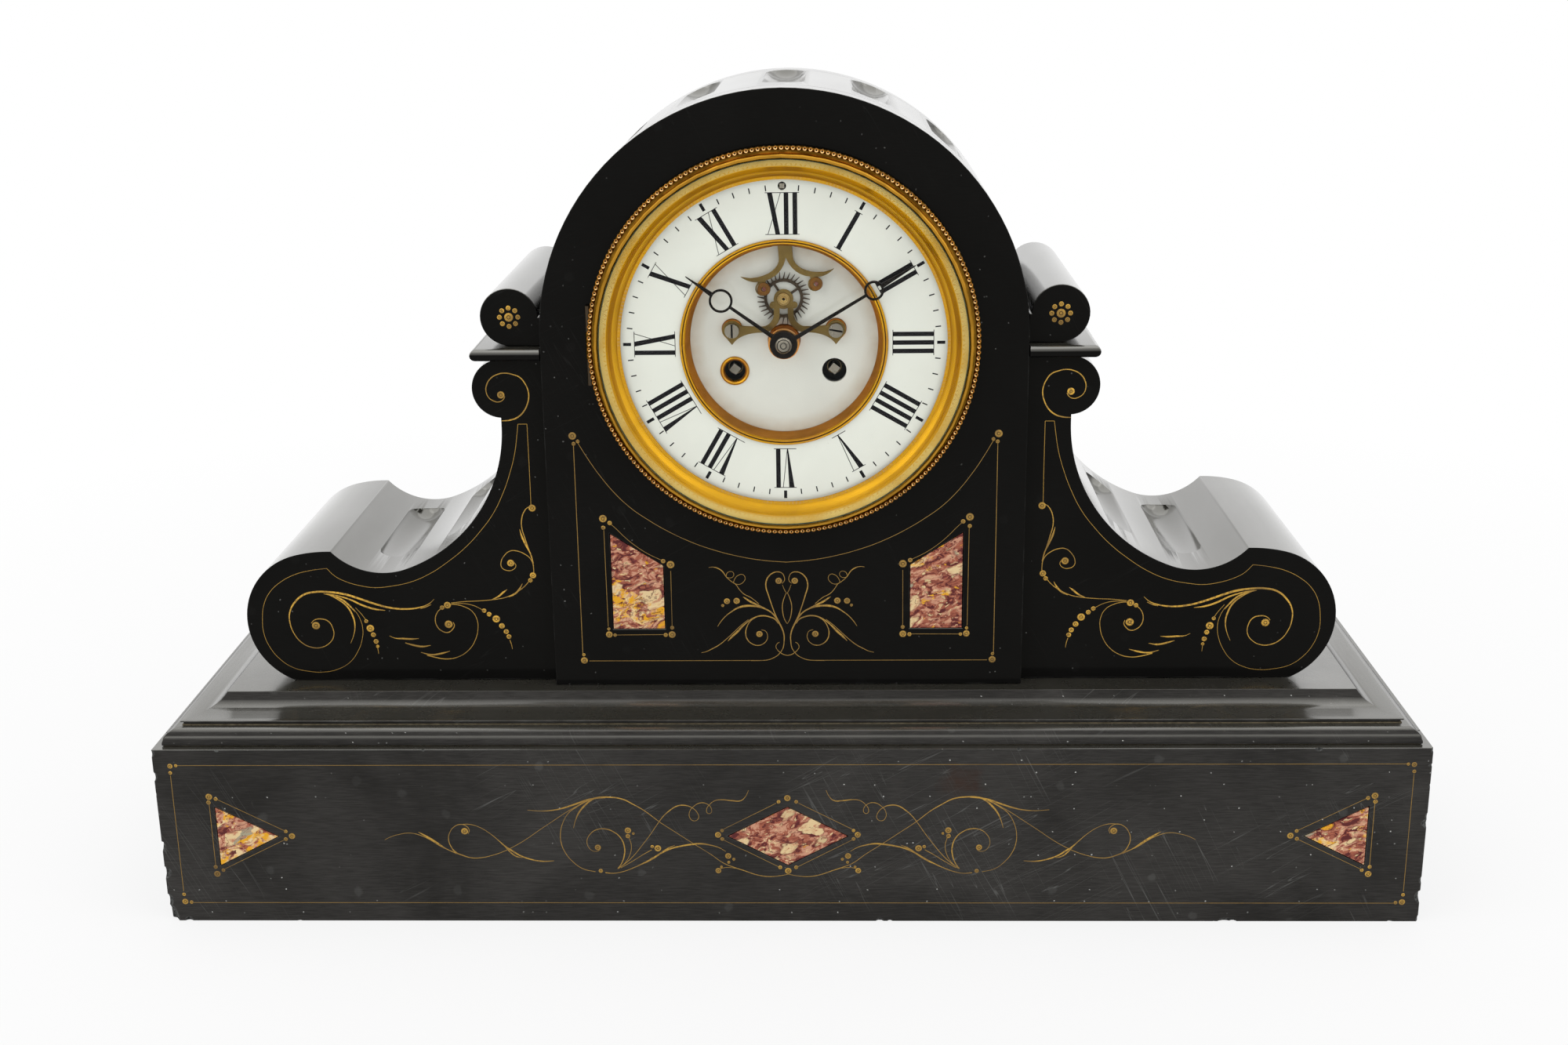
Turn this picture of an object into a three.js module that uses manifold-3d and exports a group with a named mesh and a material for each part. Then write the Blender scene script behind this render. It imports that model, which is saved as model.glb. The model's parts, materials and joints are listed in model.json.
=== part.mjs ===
// Black slate mantel clock with a striking movement and its escapement in front of the dial.
// Millimetres: +X is right, +Y runs to the back, +Z is up, and the origin is the middle of the underside.
import * as THREE from "three";
import { mergeVertices } from "three/addons/utils/BufferGeometryUtils.js";
import Module from "manifold-3d";

const wasm = await Module();
wasm.setup();

// Overall sizes of the case
const caseWidth = 520;
const caseDepth = 156;
const seam = 0.3;
const overrun = 2;

// Plinth slabs
const plinthHeight = 77.8;
const plinthFrontWall = 18;
const plinthEndWall = 18;
const plinthBackWall = 14;

// Base mouldings, measured in from the plinth's faces
const torusThickness = 6.3;
const torusFoot = 1;
const torusInset = 3.4;
const torusTopInset = 10.2;
const coveThickness = 8.5;
const quirkHeight = 1.1;
const quirkInset = 10.8;
const coveLipHeight = 0.6;
const coveLipInset = 9.8;
const coveTopInset = 25.5;
const coveBendShares = [0.75, 0.06];

// Drum that holds the movement
const drumWidth = 194.4;
const drumSetback = 31.7;
const drumDepth = 115.8;
const drumWall = 14;
const drumBackWall = 12;
const drumSideHeight = 147.2;
const crownFluteWidth = 18;
const scrollFluteWidth = 15.5;
const fluteDepth = 4.2;
const fluteBackMargin = 14.8;
const fluteLength = 73;
const crownFlutes = 5;
const crownFluteStep = THREE.MathUtils.degToRad(21.5);

// Scrolls, shelves and rolls beside the drum
const scrollSetback = 37.9;
const scrollDepth = 109.6;
const neckReach = 18.1;
const neckHeight = 110.8;
const neckRadius = 65;
const hollowRadius = 29.2;
const crownRadius = 58.9;
const bulgeRadius = 29.3;
const hollowStart = THREE.MathUtils.degToRad(250.3);
const hollowEnd = THREE.MathUtils.degToRad(317.2);
const crownStart = THREE.MathUtils.degToRad(91.4);
const crownEnd = THREE.MathUtils.degToRad(76.6);
const upperFluteAngle = THREE.MathUtils.degToRad(231.3);
const lowerFluteAngle = THREE.MathUtils.degToRad(268.6);
const voluteRadius = 12.05;
const voluteReach = 17.3;
const voluteRise = 15.2;
const shelfThickness = 5;
const shelfReach = 28.4;
const shelfProud = 0.6;
const rollRadius = 11.6;
const rollReach = 12.8;

// Marble inlays
const inlayThickness = 3;
const inlayGap = 0.3;
const drumInlayOuter = 72.1;
const drumInlayInner = 50.8;
const drumInlayFoot = 24.8;
const drumInlayOuterHeight = 41;
const drumInlayInnerHeight = 27.4;
const plinthInlayHeight = 26;
const plinthInlayWidth = 25;
const plinthInlayEndInset = 24;
const diamondHalfWidth = 24.4;

// Dial, which is centred a little under the drum's arch
const dialDrop = 2.1;
const panRimInset = 0.8;
const panTubeRadius = 68;
const panMetal = 1;
const panTubeDepth = 14;
const panFloorDepth = 3.4;
const panFloorRadius = 44;
const chapterOuterRadius = 66.2;
const chapterInnerRadius = 41;
const chapterDepth = 1.1;
const chapterThickness = 2;
const lipRadius = 41.4;
const lipHeight = 0.8;
const throatRadius = 40.2;
const floorRadius = 37.6;
const floorDepth = 8.1;
const floorDialRadius = 38.8;
const floorDialThickness = 2;
const stemNotchWidth = 9;
const stemNotchDepth = 4.7;

// Bezel door
const bezelRadius = 78;
const beadRadius = 0.9;
const bezelLip = 1;
const bezelWall = 0.8;
const bezelHeight = 7.9;
const glassRadius = 73.9;
const glassThickness = 2.6;
const glassBevelWidth = 4.5;
const glassBevelDrop = 1.5;
const glassSeatHeight = 5.2;
const slipBandRadius = 69.6;
const slipBandDrop = 0.6;
const slipInnerRadius = 64.8;
const slipMetal = 0.8;
const slipFoot = 0.9;
const slipHollow = 0.5;
const hingeLength = 32;
const hingeRadius = 1.2;
const hingePinRadius = 0.5;
const hingePinFit = 0.08;
const hingeTuck = 0.8;
const backHingeRadius = 1.5;

// Winding holes and arbors
const windingSpread = 20;
const windingDrop = 12.5;
const windingHoleRadius = 4.9;
const bushFlangeRadius = 5.9;
const bushFlangeHeight = 0.5;
const bushBoreRadius = 4.2;
const bushLength = 3;
const squareSide = 3.4;
const squareTurn = THREE.MathUtils.degToRad(38);
const squareDepth = 11;
const arborRadius = 2.6;
const arborFit = 0.1;

// Movement plates
const plateRadius = 55;
const plateThickness = 2.5;
const frontPlateDepth = 16;
const plateGap = 34.5;
const pillarRadius = 2.6;
const pillarCircle = 47;
const pillars = 4;
const dialFootRadius = 2;
const dialFootCircle = 50;
const dialFeet = 3;

// Barrels
const barrelRadius = 17.4;
const greatWheelRadius = 19.4;
const greatWheelThickness = 2.4;
const barrelLength = 26;
const barrelEndGap = 3;

// Hands
const minuteAngle = THREE.MathUtils.degToRad(59);
const hourAngle = THREE.MathUtils.degToRad(-54.5);
const handThickness = 0.8;
const hourHandHeight = 0.5;
const minuteHandHeight = 1.9;
const handBossRadius = 5.5;
const pipeRadius = 6.2;
const cannonRadius = 2.2;
const hourRingReach = 30.2;
const hourRingRadius = 4.7;
const hourTipReach = 47;
const minuteRingReach = 41.6;
const minuteRingRadius = 3.9;
const minuteTipReach = 60.5;
const ringWire = 0.9;
const stemRootWidth = 1.6;
const stemEndWidth = 1.1;
const tipRootWidth = 1.8;
const tipEndWidth = 0.3;
const nutRadius = 3.3;
const nutHeight = 1.5;
const nutCrownShare = 0.7;
const centreArborRadius = 1.6;

// Motion work, which turns the hour hand once for twelve turns of the minute hand
const toothModule = 0.6;
const cannonTeeth = 10;
const minuteWheelTeeth = 30;
const minutePinionTeeth = 8;
const hourWheelTeeth = 32;
const motionWheelThickness = 1.2;
const hourWheelDepth = 11;
const minuteWheelDepth = 13.6;
const motionStudRadius = 0.9;
const gearShares = { addendum: 0.9, dedendum: 1.2, tip: 0.2, root: 0.5 };

// Escape wheel
const wheelRise = 17;
const wheelTipRadius = 10.5;
const wheelRimOuter = 7.8;
const wheelRimInner = 6.6;
const wheelThickness = 0.6;
const wheelDepth = 7;
const wheelTeeth = 32;
const wheelSpokes = 4;
const wheelSpokeTurn = THREE.MathUtils.degToRad(33.5);
const wheelSpokeWidth = 0.9;
const wheelCentreRadius = 2.6;
const hubRadius = 3.3;
const hubThickness = 0.5;
const toothRootWidth = 0.62;
const toothTipWidth = 0.2;
const toothLean = THREE.MathUtils.degToRad(3.3);
const wheelArborRadius = 0.7;
const pressFit = 0.05;

// Pallets: an anchor with two half-round stones
const anchorRise = 30;
const anchorTilt = THREE.MathUtils.degToRad(-4.6);
const anchorDepth = 5.2;
const anchorThickness = 1;
const stoneDrop = 25.1;
const stoneSpread = 10.45;
const stoneRadius = 2.2;
const stoneTurn = THREE.MathUtils.degToRad(30);
const stoneGap = 0.3;
const collarRadius = 2.75;
const collarProud = 0.3;
const neckWidth = 3.2;
const stemWidth = 5.6;
const splitDrop = 13.6;
const shoulderSpread = 14;
const armTopDrop = 20.6;
const armUnderDrop = 22.3;
const hornSpread = 18.6;
const hornDrop = 19.6;
const armBendShares = [0.55, 0.42, 0.28];
const anchorEyeRadius = 3.6;
const palletArborRadius = 1;

// Cock that carries the escape wheel's front pivot
const cockDepth = 4.7;
const cockThickness = 1.2;
const cockEyeRadius = 3.9;
const cockGap = 3.2;
const cockGapDrop = 2.5;
const cockArmWidth = 2.3;
const cockBendDrop = 6;
const cockBarDrop = 12.2;
const cockBarSpread = 8.5;
const cockFootSpread = 20.7;
const cockFootDrop = 12.5;
const cockFootRadius = 3.9;
const cockFootTurns = [THREE.MathUtils.degToRad(-20), THREE.MathUtils.degToRad(150)];
const cockHornDrop = 18.3;
const cockCurlRadius = 1.35;
const cockCurlSpread = 4.2;
const cockCurlDrop = 2.4;
const cockScrewRadius = 2.9;
const cockScrewHeight = 1.2;
const cockShankRadius = 1.4;
const cockShankLength = 5;
const screwSlotWidth = 0.7;
const screwSlotDepth = 0.5;
const leftSlotTurn = THREE.MathUtils.degToRad(90);
const rightSlotTurn = THREE.MathUtils.degToRad(10);

// Regulator arbor, suspension and pendulum
const regulatorRise = 62;
const regulatorRadius = 1.1;
const regulatorSquare = 1.5;
const regulatorSquareLength = 4.5;
const regulatorHoleRadius = 1.6;
const suspensionWidth = 14;
const suspensionTop = 66;
const suspensionFoot = 42;
const suspensionLength = 5;
const chopWidth = 7;
const chopGap = 0.5;
const chopEnd = 4;
const crutchRoom = 1.5;
const pendulumDepth = 62;
const springWidth = 5;
const springThickness = 0.5;
const springLength = 12;
const springHold = 3;
const hookWidth = 3;
const rodRadius = 1.5;
const bobDrop = 160.6;
const bobRadius = 21;
const bobThickness = 12;
const bobEdge = 4;
const ratingNutRadius = 4;
const ratingNutHeight = 3;
const crutchDrop = 42;
const crutchWidth = 4;
const crutchThickness = 1.4;
const forkGap = 0.4;
const forkWire = 1.4;

// Bell and hammer
const bellRadius = 34;
const bellHeight = 17;
const bellMetal = 1.8;
const bellDepth = 74;
const bellRise = 4;
const bellPostSpread = 27;
const bellPostDrop = 22;
const bellPostRadius = 2.2;
const hammerSpread = 38.9;
const hammerDrop = 22;
const hammerArborRadius = 1.2;
const hammerArmWidth = 2.4;
const hammerHeadRadius = 3.4;
const hammerHeadLength = 9;
const hammerGap = 1;

// Back ring, back door and the straps that clamp the movement into the drum
const backHoleRadius = 62;
const backRingOuter = 70;
const backRingMetal = 1.6;
const backTubeDepth = 8;
const backDoorRadius = 62.4;
const backDoorMetal = 1.2;
const backDoorDish = 3;
const backDoorFlatShare = 0.66;
const backDoorRim = 2.4;
const backHingeReach = 64.6;
const backHingeLength = 24;
const backKnobRadius = 4;
const backKnobNeck = 2;
const backKnobHeight = 3.2;
const strapWidth = 9;
const strapThickness = 1.4;

// How finely round work is cut
const fine = 56;
const medium = 32;
const coarse = 16;

// Places worked out from the sizes
const frontY = -caseDepth / 2;
const torusBottom = plinthHeight + seam;
const torusTop = torusBottom + torusThickness;
const coveBottom = torusTop + seam;
const slabTop = coveBottom + coveThickness;
const drumFaceY = frontY + drumSetback;
const drumBackY = drumFaceY + drumDepth;
const drumFoot = slabTop + seam;
const archZ = slabTop + drumSideHeight;
const dialZ = archZ - dialDrop;
const panOuterRadius = bezelRadius - panRimInset;
const hingeX = hingeTuck - bezelRadius;
const hingeY = -seam - hingeRadius;
const backPlateDepth = frontPlateDepth + plateThickness + plateGap;
const plateBackDepth = backPlateDepth + plateThickness;

// Looks
const slate = { color: 0x1d1c1c, roughness: 0.55, metalness: 0 };
const marble = { color: 0xa8604f, roughness: 0.35, metalness: 0 };
const gilt = { color: 0xc8993a, roughness: 0.3, metalness: 1 };
const brass = { color: 0xb08d4c, roughness: 0.4, metalness: 1 };
const steel = { color: 0x8b8c8e, roughness: 0.35, metalness: 1 };
const blued = { color: 0x17181c, roughness: 0.4, metalness: 0.8 };
const enamel = { color: 0xefeee8, roughness: 0.2, metalness: 0 };
const crystal = { color: 0xeef4f2, roughness: 0.05, metalness: 0, transparent: true, opacity: 0.15 };
const carnelian = { color: 0x6e2a1c, roughness: 0.2, metalness: 0 };

const clock = new THREE.Group();
const dial = new THREE.Group();
dial.position.set(0, drumFaceY, dialZ);
clock.add(dial);

// Adds a finished piece to a group under its own name.
function add(group, name, geometry, look) {
  const mesh = new THREE.Mesh(geometry, new THREE.MeshStandardMaterial(look));
  mesh.name = name;
  group.add(mesh);
  return mesh;
}

// A geometry as a solid that can be cut and joined.
function solid(geometry) {
  const bare = geometry.clone();
  bare.deleteAttribute("normal");
  bare.deleteAttribute("uv");
  const merged = mergeVertices(bare, seam / fine ** 2);
  return new wasm.Manifold(
    new wasm.Mesh({
      numProp: 3,
      vertProperties: merged.attributes.position.array,
      triVerts: new Uint32Array(merged.index.array),
    }),
  );
}

function geometryOf(body) {
  const mesh = body.getMesh();
  const geometry = new THREE.BufferGeometry();
  geometry.setAttribute("position", new THREE.BufferAttribute(mesh.vertProperties, mesh.numProp));
  geometry.setIndex(new THREE.BufferAttribute(mesh.triVerts, 1));
  geometry.computeVertexNormals();
  return geometry;
}

function cut(base, ...cutters) {
  return geometryOf(cutters.reduce((body, cutter) => body.subtract(solid(cutter)), solid(base)));
}

function join(...pieces) {
  return geometryOf(pieces.map(solid).reduce((body, piece) => body.add(piece)));
}

// A block between two corners.
function block(x0, x1, y0, y1, z0, z1) {
  const box = new THREE.BoxGeometry(Math.abs(x1 - x0), Math.abs(y1 - y0), Math.abs(z1 - z0));
  return box.translate((x0 + x1) / 2, (y0 + y1) / 2, (z0 + z1) / 2);
}

// An outline in the X-Z plane as a plate from y0 back to y1.
function plate(outline, y0, y1, steps = coarse) {
  const options = { depth: y1 - y0, bevelEnabled: false, curveSegments: steps };
  return new THREE.ExtrudeGeometry(outline, options).rotateX(Math.PI / 2).translate(0, y1, 0);
}

// A section of [radius, y] points turned about the Y axis.
function turned(section, segments = fine) {
  const points = section.map(([radius, y]) => new THREE.Vector2(radius, y));
  const ordered = THREE.ShapeUtils.area(points) < 0 ? points.reverse() : points;
  const onAxis = ordered.some((point) => point.x === 0);
  if (!onAxis) ordered.push(ordered[0].clone());
  return new THREE.LatheGeometry(startOnAxis(ordered), segments);
}

// Turns the list round until it starts and ends on the axis, if it touches the axis at all.
function startOnAxis(points) {
  const count = points.length;
  const first = points.findIndex((point, i) => point.x === 0 && points[(i + count - 1) % count].x === 0);
  return first < 0 ? points : [...points.slice(first), ...points.slice(0, first)];
}

// A round rod along Y.
function rod(radius, y0, y1, x = 0, z = 0, segments = coarse) {
  const geometry = new THREE.CylinderGeometry(radius, radius, Math.abs(y1 - y0), segments);
  return geometry.translate(x, (y0 + y1) / 2, z);
}

// A round rod along Z.
function post(radius, x, y, z0, z1, segments = coarse) {
  const geometry = new THREE.CylinderGeometry(radius, radius, Math.abs(z1 - z0), segments);
  return geometry.rotateX(Math.PI / 2).translate(x, y, (z0 + z1) / 2);
}

function polygonShape(corners) {
  return new THREE.Shape(corners.map(([x, z]) => new THREE.Vector2(x, z)));
}

// The same outline mirrored to the other side of the clock.
function mirrored(corners) {
  return corners.map(([x, z]) => [-x, z]).reverse();
}

// A closed outline from its right half, which starts and ends on the middle line.
function bothSides(path) {
  const right = path.getPoints(coarse / 2);
  const left = right.slice(1, -1).map((point) => new THREE.Vector2(-point.x, point.y));
  return new THREE.Shape([...right, ...left.reverse()]);
}

// A stack of rectangles, each [x0, x1, y0, y1, z], closed at both ends.
function stacked(levels) {
  const positions = levels.flatMap(([x0, x1, y0, y1, z]) => [x0, y0, z, x1, y0, z, x1, y1, z, x0, y1, z]);
  const index = [0, 2, 1, 0, 3, 2];
  for (let level = 0; level < levels.length - 1; level++)
    for (let side = 0; side < 4; side++) {
      const a = level * 4 + side;
      const b = level * 4 + ((side + 1) % 4);
      index.push(a, b, b + 4, a, b + 4, a + 4);
    }
  const top = (levels.length - 1) * 4;
  index.push(top, top + 1, top + 2, top, top + 2, top + 3);
  const geometry = new THREE.BufferGeometry();
  geometry.setAttribute("position", new THREE.Float32BufferAttribute(positions, 3));
  geometry.setIndex(index);
  geometry.computeVertexNormals();
  return geometry;
}

// A moulding that runs round the front and both ends and is flush at the back: [inset, z] points.
function moulding(profile) {
  const half = caseWidth / 2;
  return stacked(
    profile.map(([inset, z]) => [inset - half, half - inset, frontY + inset, caseDepth / 2, z]),
  );
}

// Moves each side of a convex outline, listed anticlockwise, outwards by a gap.
function grown(corners, gap) {
  const count = corners.length;
  const sides = corners.map(([x, z], i) => {
    const [nextX, nextZ] = corners[(i + 1) % count];
    const length = Math.hypot(nextX - x, nextZ - z);
    const normal = [(nextZ - z) / length, (x - nextX) / length];
    return [...normal, normal[0] * x + normal[1] * z + gap];
  });
  return sides.map(([a, b, c], i) => {
    const [d, e, f] = sides[(i + count - 1) % count];
    const base = a * e - b * d;
    return [(c * e - b * f) / base, (a * f - c * d) / base];
  });
}

// A rounded groove along Y, sunk to the flute's depth under a point of the surface it is cut in.
function flute(width, x, z, outX, outZ) {
  const radius = (width ** 2 / 4 + fluteDepth ** 2) / (2 * fluteDepth);
  const capsule = new THREE.CapsuleGeometry(radius, fluteLength - width, coarse / 4, (medium * 3) / 4);
  const lift = radius - fluteDepth;
  const middleY = drumBackY - fluteBackMargin - fluteLength / 2;
  return capsule.translate(x + outX * lift, middleY, z + outZ * lift);
}

function addPlinth() {
  const half = caseWidth / 2;
  const backY = caseDepth / 2;
  const innerBackY = backY - plinthBackWall;
  const face = block(-half, half, frontY, frontY + plinthFrontWall, 0, plinthHeight);
  const pockets = plinthInlays().map(([, corners]) => inlayPocket(corners, frontY));
  add(clock, "plinth_front_slab", cut(face, ...pockets), slate);
  const y0 = frontY + plinthFrontWall + seam;
  addPair("plinth_slab", block(half - plinthEndWall, half, y0, backY, 0, plinthHeight), slate);
  const span = half - plinthEndWall - seam;
  add(clock, "plinth_back_slab", block(-span, span, innerBackY, backY, 0, plinthHeight), slate);
}

function addMouldings() {
  const torus = [
    [torusInset, torusBottom],
    [torusInset, torusBottom + torusFoot],
  ];
  const rise = torusThickness - torusFoot;
  const steps = coarse / 4;
  for (let i = 1; i <= steps; i++) {
    const turn = ((i / steps) * Math.PI) / 2;
    const inset = torusInset + (torusTopInset - torusInset) * (1 - Math.cos(turn));
    torus.push([inset, torusBottom + torusFoot + rise * Math.sin(turn)]);
  }
  add(clock, "torus_moulding_slab", moulding(torus), slate);

  const lipZ = coveBottom + quirkHeight;
  const lipTop = lipZ + coveLipHeight;
  const run = coveTopInset - coveLipInset;
  const [across, up] = coveBendShares;
  const bend = new THREE.QuadraticBezierCurve(
    new THREE.Vector2(coveLipInset, lipTop),
    new THREE.Vector2(coveLipInset + run * across, lipTop + (slabTop - lipTop) * up),
    new THREE.Vector2(coveTopInset, slabTop),
  );
  const cove = [
    [quirkInset, coveBottom],
    [quirkInset, lipZ],
    [coveLipInset, lipZ],
    ...bend.getPoints(coarse / 2).map((point) => [point.x, point.y]),
  ];
  add(clock, "cove_moulding_slab", moulding(cove), slate);
}

// The drum's outline: straight sides under a half-round arch.
function archShape(halfWidth, foot) {
  const shape = new THREE.Shape();
  shape.moveTo(-halfWidth, foot);
  shape.lineTo(halfWidth, foot);
  shape.lineTo(halfWidth, archZ);
  shape.absarc(0, archZ, halfWidth, 0, Math.PI);
  shape.lineTo(-halfWidth, foot);
  return shape;
}

function addDrum() {
  const half = drumWidth / 2;
  const inner = half - drumWall;
  const frontSlab = archShape(half, drumFoot);
  frontSlab.holes.push(new THREE.Path().absarc(0, dialZ, panTubeRadius + seam, 0, Math.PI * 2));
  const face = plate(frontSlab, drumFaceY, drumFaceY + drumWall, fine / 2);
  const pockets = drumInlays().map(([, corners]) => inlayPocket(corners, drumFaceY));
  add(clock, "drum_front_slab", cut(face, ...pockets), slate);

  const backSlab = archShape(half, drumFoot);
  backSlab.holes.push(new THREE.Path().absarc(0, dialZ, backHoleRadius, 0, Math.PI * 2));
  add(clock, "drum_back_slab", plate(backSlab, drumBackY - drumBackWall, drumBackY, fine / 2), slate);

  const y0 = drumFaceY + drumWall + seam;
  const y1 = drumBackY - drumBackWall - seam;
  addPair("drum_slab", block(inner, half, y0, y1, drumFoot, archZ - seam), slate);
  addCrown(half, inner, y0, y1);
}

// The barrel roof with its flutes.
function addCrown(outer, inner, y0, y1) {
  const shape = new THREE.Shape();
  shape.absarc(0, archZ, outer, 0, Math.PI);
  shape.absarc(0, archZ, inner, Math.PI, 0, true);
  const flutes = [];
  for (let i = 0; i < crownFlutes; i++) {
    const turn = (i - (crownFlutes - 1) / 2) * crownFluteStep;
    const outX = Math.sin(turn);
    const outZ = Math.cos(turn);
    flutes.push(flute(crownFluteWidth, outer * outX, archZ + outer * outZ, outX, outZ));
  }
  add(clock, "drum_crown_slab", cut(plate(shape, y0, y1, fine / 2), ...flutes), slate);
}

const polar = (centre, radius, angle) => [
  centre[0] + radius * Math.cos(angle),
  centre[1] + radius * Math.sin(angle),
];

// The arcs of the right-hand scroll: each centre lies on the line through the last arc's end.
function scrollArcs() {
  const neckCentre = [drumWidth / 2 + neckReach + neckRadius, slabTop + neckHeight];
  const hollowCentre = polar(neckCentre, neckRadius - hollowRadius, hollowStart);
  const ridge = polar(hollowCentre, hollowRadius, hollowEnd);
  const crownCentre = polar(ridge, -crownRadius, crownStart);
  const bulgeCentre = polar(crownCentre, crownRadius - bulgeRadius, crownEnd);
  return { neckCentre, hollowCentre, ridge, crownCentre, bulgeCentre };
}

function scrollShape() {
  const { neckCentre, hollowCentre, crownCentre, bulgeCentre } = scrollArcs();
  const innerX = drumWidth / 2 + seam;
  const voluteX = drumWidth / 2 + voluteReach;
  const voluteZ = neckCentre[1] + voluteRise;
  const footAngle = Math.asin((drumFoot - bulgeCentre[1]) / bulgeRadius);
  const neckX = neckCentre[0] - neckRadius;
  const neckAngle = Math.acos((neckX - voluteX) / voluteRadius);
  const shape = new THREE.Shape();
  shape.moveTo(innerX, drumFoot);
  shape.absarc(bulgeCentre[0], bulgeCentre[1], bulgeRadius, footAngle, crownEnd);
  shape.absarc(crownCentre[0], crownCentre[1], crownRadius, crownEnd, crownStart);
  shape.absarc(hollowCentre[0], hollowCentre[1], hollowRadius, hollowEnd, hollowStart, true);
  shape.absarc(neckCentre[0], neckCentre[1], neckRadius, hollowStart, Math.PI, true);
  shape.absarc(voluteX, voluteZ, voluteRadius, -neckAngle, Math.PI / 2);
  shape.lineTo(innerX, voluteZ + voluteRadius);
  shape.lineTo(innerX, drumFoot);
  return shape;
}

function scrollFlutes() {
  const { neckCentre, hollowCentre } = scrollArcs();
  return [
    [neckCentre, neckRadius, upperFluteAngle],
    [hollowCentre, hollowRadius, lowerFluteAngle],
  ].map(([centre, radius, angle]) => {
    const [x, z] = polar(centre, radius, angle);
    return flute(scrollFluteWidth, x, z, -Math.cos(angle), -Math.sin(angle));
  });
}

// A right-hand geometry reflected for the left side, with its faces turned to point out again.
function reflected(geometry) {
  const flipped = geometry.clone().scale(-1, 1, 1);
  const plain = [...Array(flipped.attributes.position.count).keys()];
  const index = flipped.index ? Array.from(flipped.index.array) : plain;
  for (let i = 0; i < index.length; i += 3) [index[i], index[i + 1]] = [index[i + 1], index[i]];
  flipped.setIndex(index);
  flipped.computeVertexNormals();
  return flipped;
}

function addPair(name, geometry, look) {
  add(clock, "right_" + name, geometry, look);
  add(clock, "left_" + name, reflected(geometry), look);
}

function addScrolls() {
  const y0 = frontY + scrollSetback;
  const y1 = y0 + scrollDepth;
  addPair("scroll", cut(plate(scrollShape(), y0, y1, coarse), ...scrollFlutes()), slate);

  const innerX = drumWidth / 2 + seam;
  const voluteTop = scrollArcs().neckCentre[1] + voluteRise + voluteRadius;
  const shelfZ = voluteTop + seam;
  const levels = [];
  const steps = coarse / 2;
  for (let i = 0; i <= steps; i++) {
    const turn = (i / steps - 0.5) * Math.PI;
    const inset = (shelfThickness / 2) * (1 - Math.cos(turn));
    const z = shelfZ + (shelfThickness / 2) * (1 + Math.sin(turn));
    levels.push([innerX, drumWidth / 2 + shelfReach - inset, drumFaceY - shelfProud + inset, y1 - inset, z]);
  }
  addPair("shelf", stacked(levels), slate);

  const rollZ = shelfZ + shelfThickness + seam + rollRadius;
  const rollX = drumWidth / 2 + rollReach;
  const roll = new THREE.Shape();
  roll.moveTo(innerX, rollZ - rollRadius);
  roll.absarc(rollX, rollZ, rollRadius, -Math.PI / 2, Math.PI);
  roll.lineTo(innerX, rollZ);
  roll.lineTo(innerX, rollZ - rollRadius);
  addPair("roll", plate(roll, y0, y1, medium / 2), slate);
}

// Corners of the inlays, listed anticlockwise as seen from the front.
function drumInlays() {
  const foot = drumFoot + drumInlayFoot;
  const corners = [
    [drumInlayInner, foot],
    [drumInlayOuter, foot],
    [drumInlayOuter, foot + drumInlayOuterHeight],
    [drumInlayInner, foot + drumInlayInnerHeight],
  ];
  return [
    ["drum_right_marble", corners],
    ["drum_left_marble", mirrored(corners)],
  ];
}

function plinthInlays() {
  const middle = plinthHeight / 2;
  const half = plinthInlayHeight / 2;
  const outer = caseWidth / 2 - plinthInlayEndInset;
  const triangle = [
    [outer, middle - half],
    [outer, middle + half],
    [outer - plinthInlayWidth, middle],
  ];
  const diamond = [
    [0, middle - half],
    [diamondHalfWidth, middle],
    [0, middle + half],
    [-diamondHalfWidth, middle],
  ];
  return [
    ["plinth_right_marble", triangle],
    ["plinth_left_marble", mirrored(triangle)],
    ["plinth_centre_marble", diamond],
  ];
}

function inlayPocket(corners, faceY) {
  return plate(polygonShape(grown(corners, inlayGap)), faceY - overrun, faceY + inlayThickness + inlayGap);
}

function addInlays() {
  for (const [name, corners] of plinthInlays())
    add(clock, name, plate(polygonShape(corners), frontY, frontY + inlayThickness), marble);
  for (const [name, corners] of drumInlays())
    add(clock, name, plate(polygonShape(corners), drumFaceY, drumFaceY + inlayThickness), marble);
}

// From here on pieces stand in the dial's own frame: y is the depth behind the drum's face.

// The fixed half of a hinge along Z: two outer knuckles, their leaves and the pin.
function fixedKnuckles(radius, x, y, length, leafX, leafY0, leafY1) {
  const end = length / 2;
  const inner = length / 6 + seam;
  const knuckles = [-1, 1].flatMap((side) => [
    post(radius, x, y, side * inner, side * end),
    block(x, leafX, leafY0, leafY1, side * inner, side * end),
  ]);
  return [...knuckles, post(hingePinRadius, x, y, -end, end)];
}

// The moving half: a middle knuckle and its tongue, and the bore to cut for the pin.
function movingKnuckle(radius, x, y, length, tongueX, tongueY0, tongueY1) {
  const inner = length / 6;
  const knuckle = post(radius, x, y, -inner, inner);
  const tongue = block(x, tongueX, tongueY0, tongueY1, -inner, inner);
  const bore = post(hingePinRadius + hingePinFit, x, y, -inner - overrun, inner + overrun);
  return { knuckle, tongue, bore };
}

// Room round the dial's hinge: in the pan for the middle knuckle, in the rim for the outer ones.
function panHingeRoom() {
  const inner = hingeLength / 6 + seam;
  return post(hingeRadius + seam, hingeX, hingeY, -inner, inner);
}

function rimHingeRooms() {
  const inner = hingeLength / 6;
  const end = hingeLength / 2 + seam;
  return [-1, 1].map((side) => post(hingeRadius + seam, hingeX, hingeY, side * inner, side * end));
}

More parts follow.
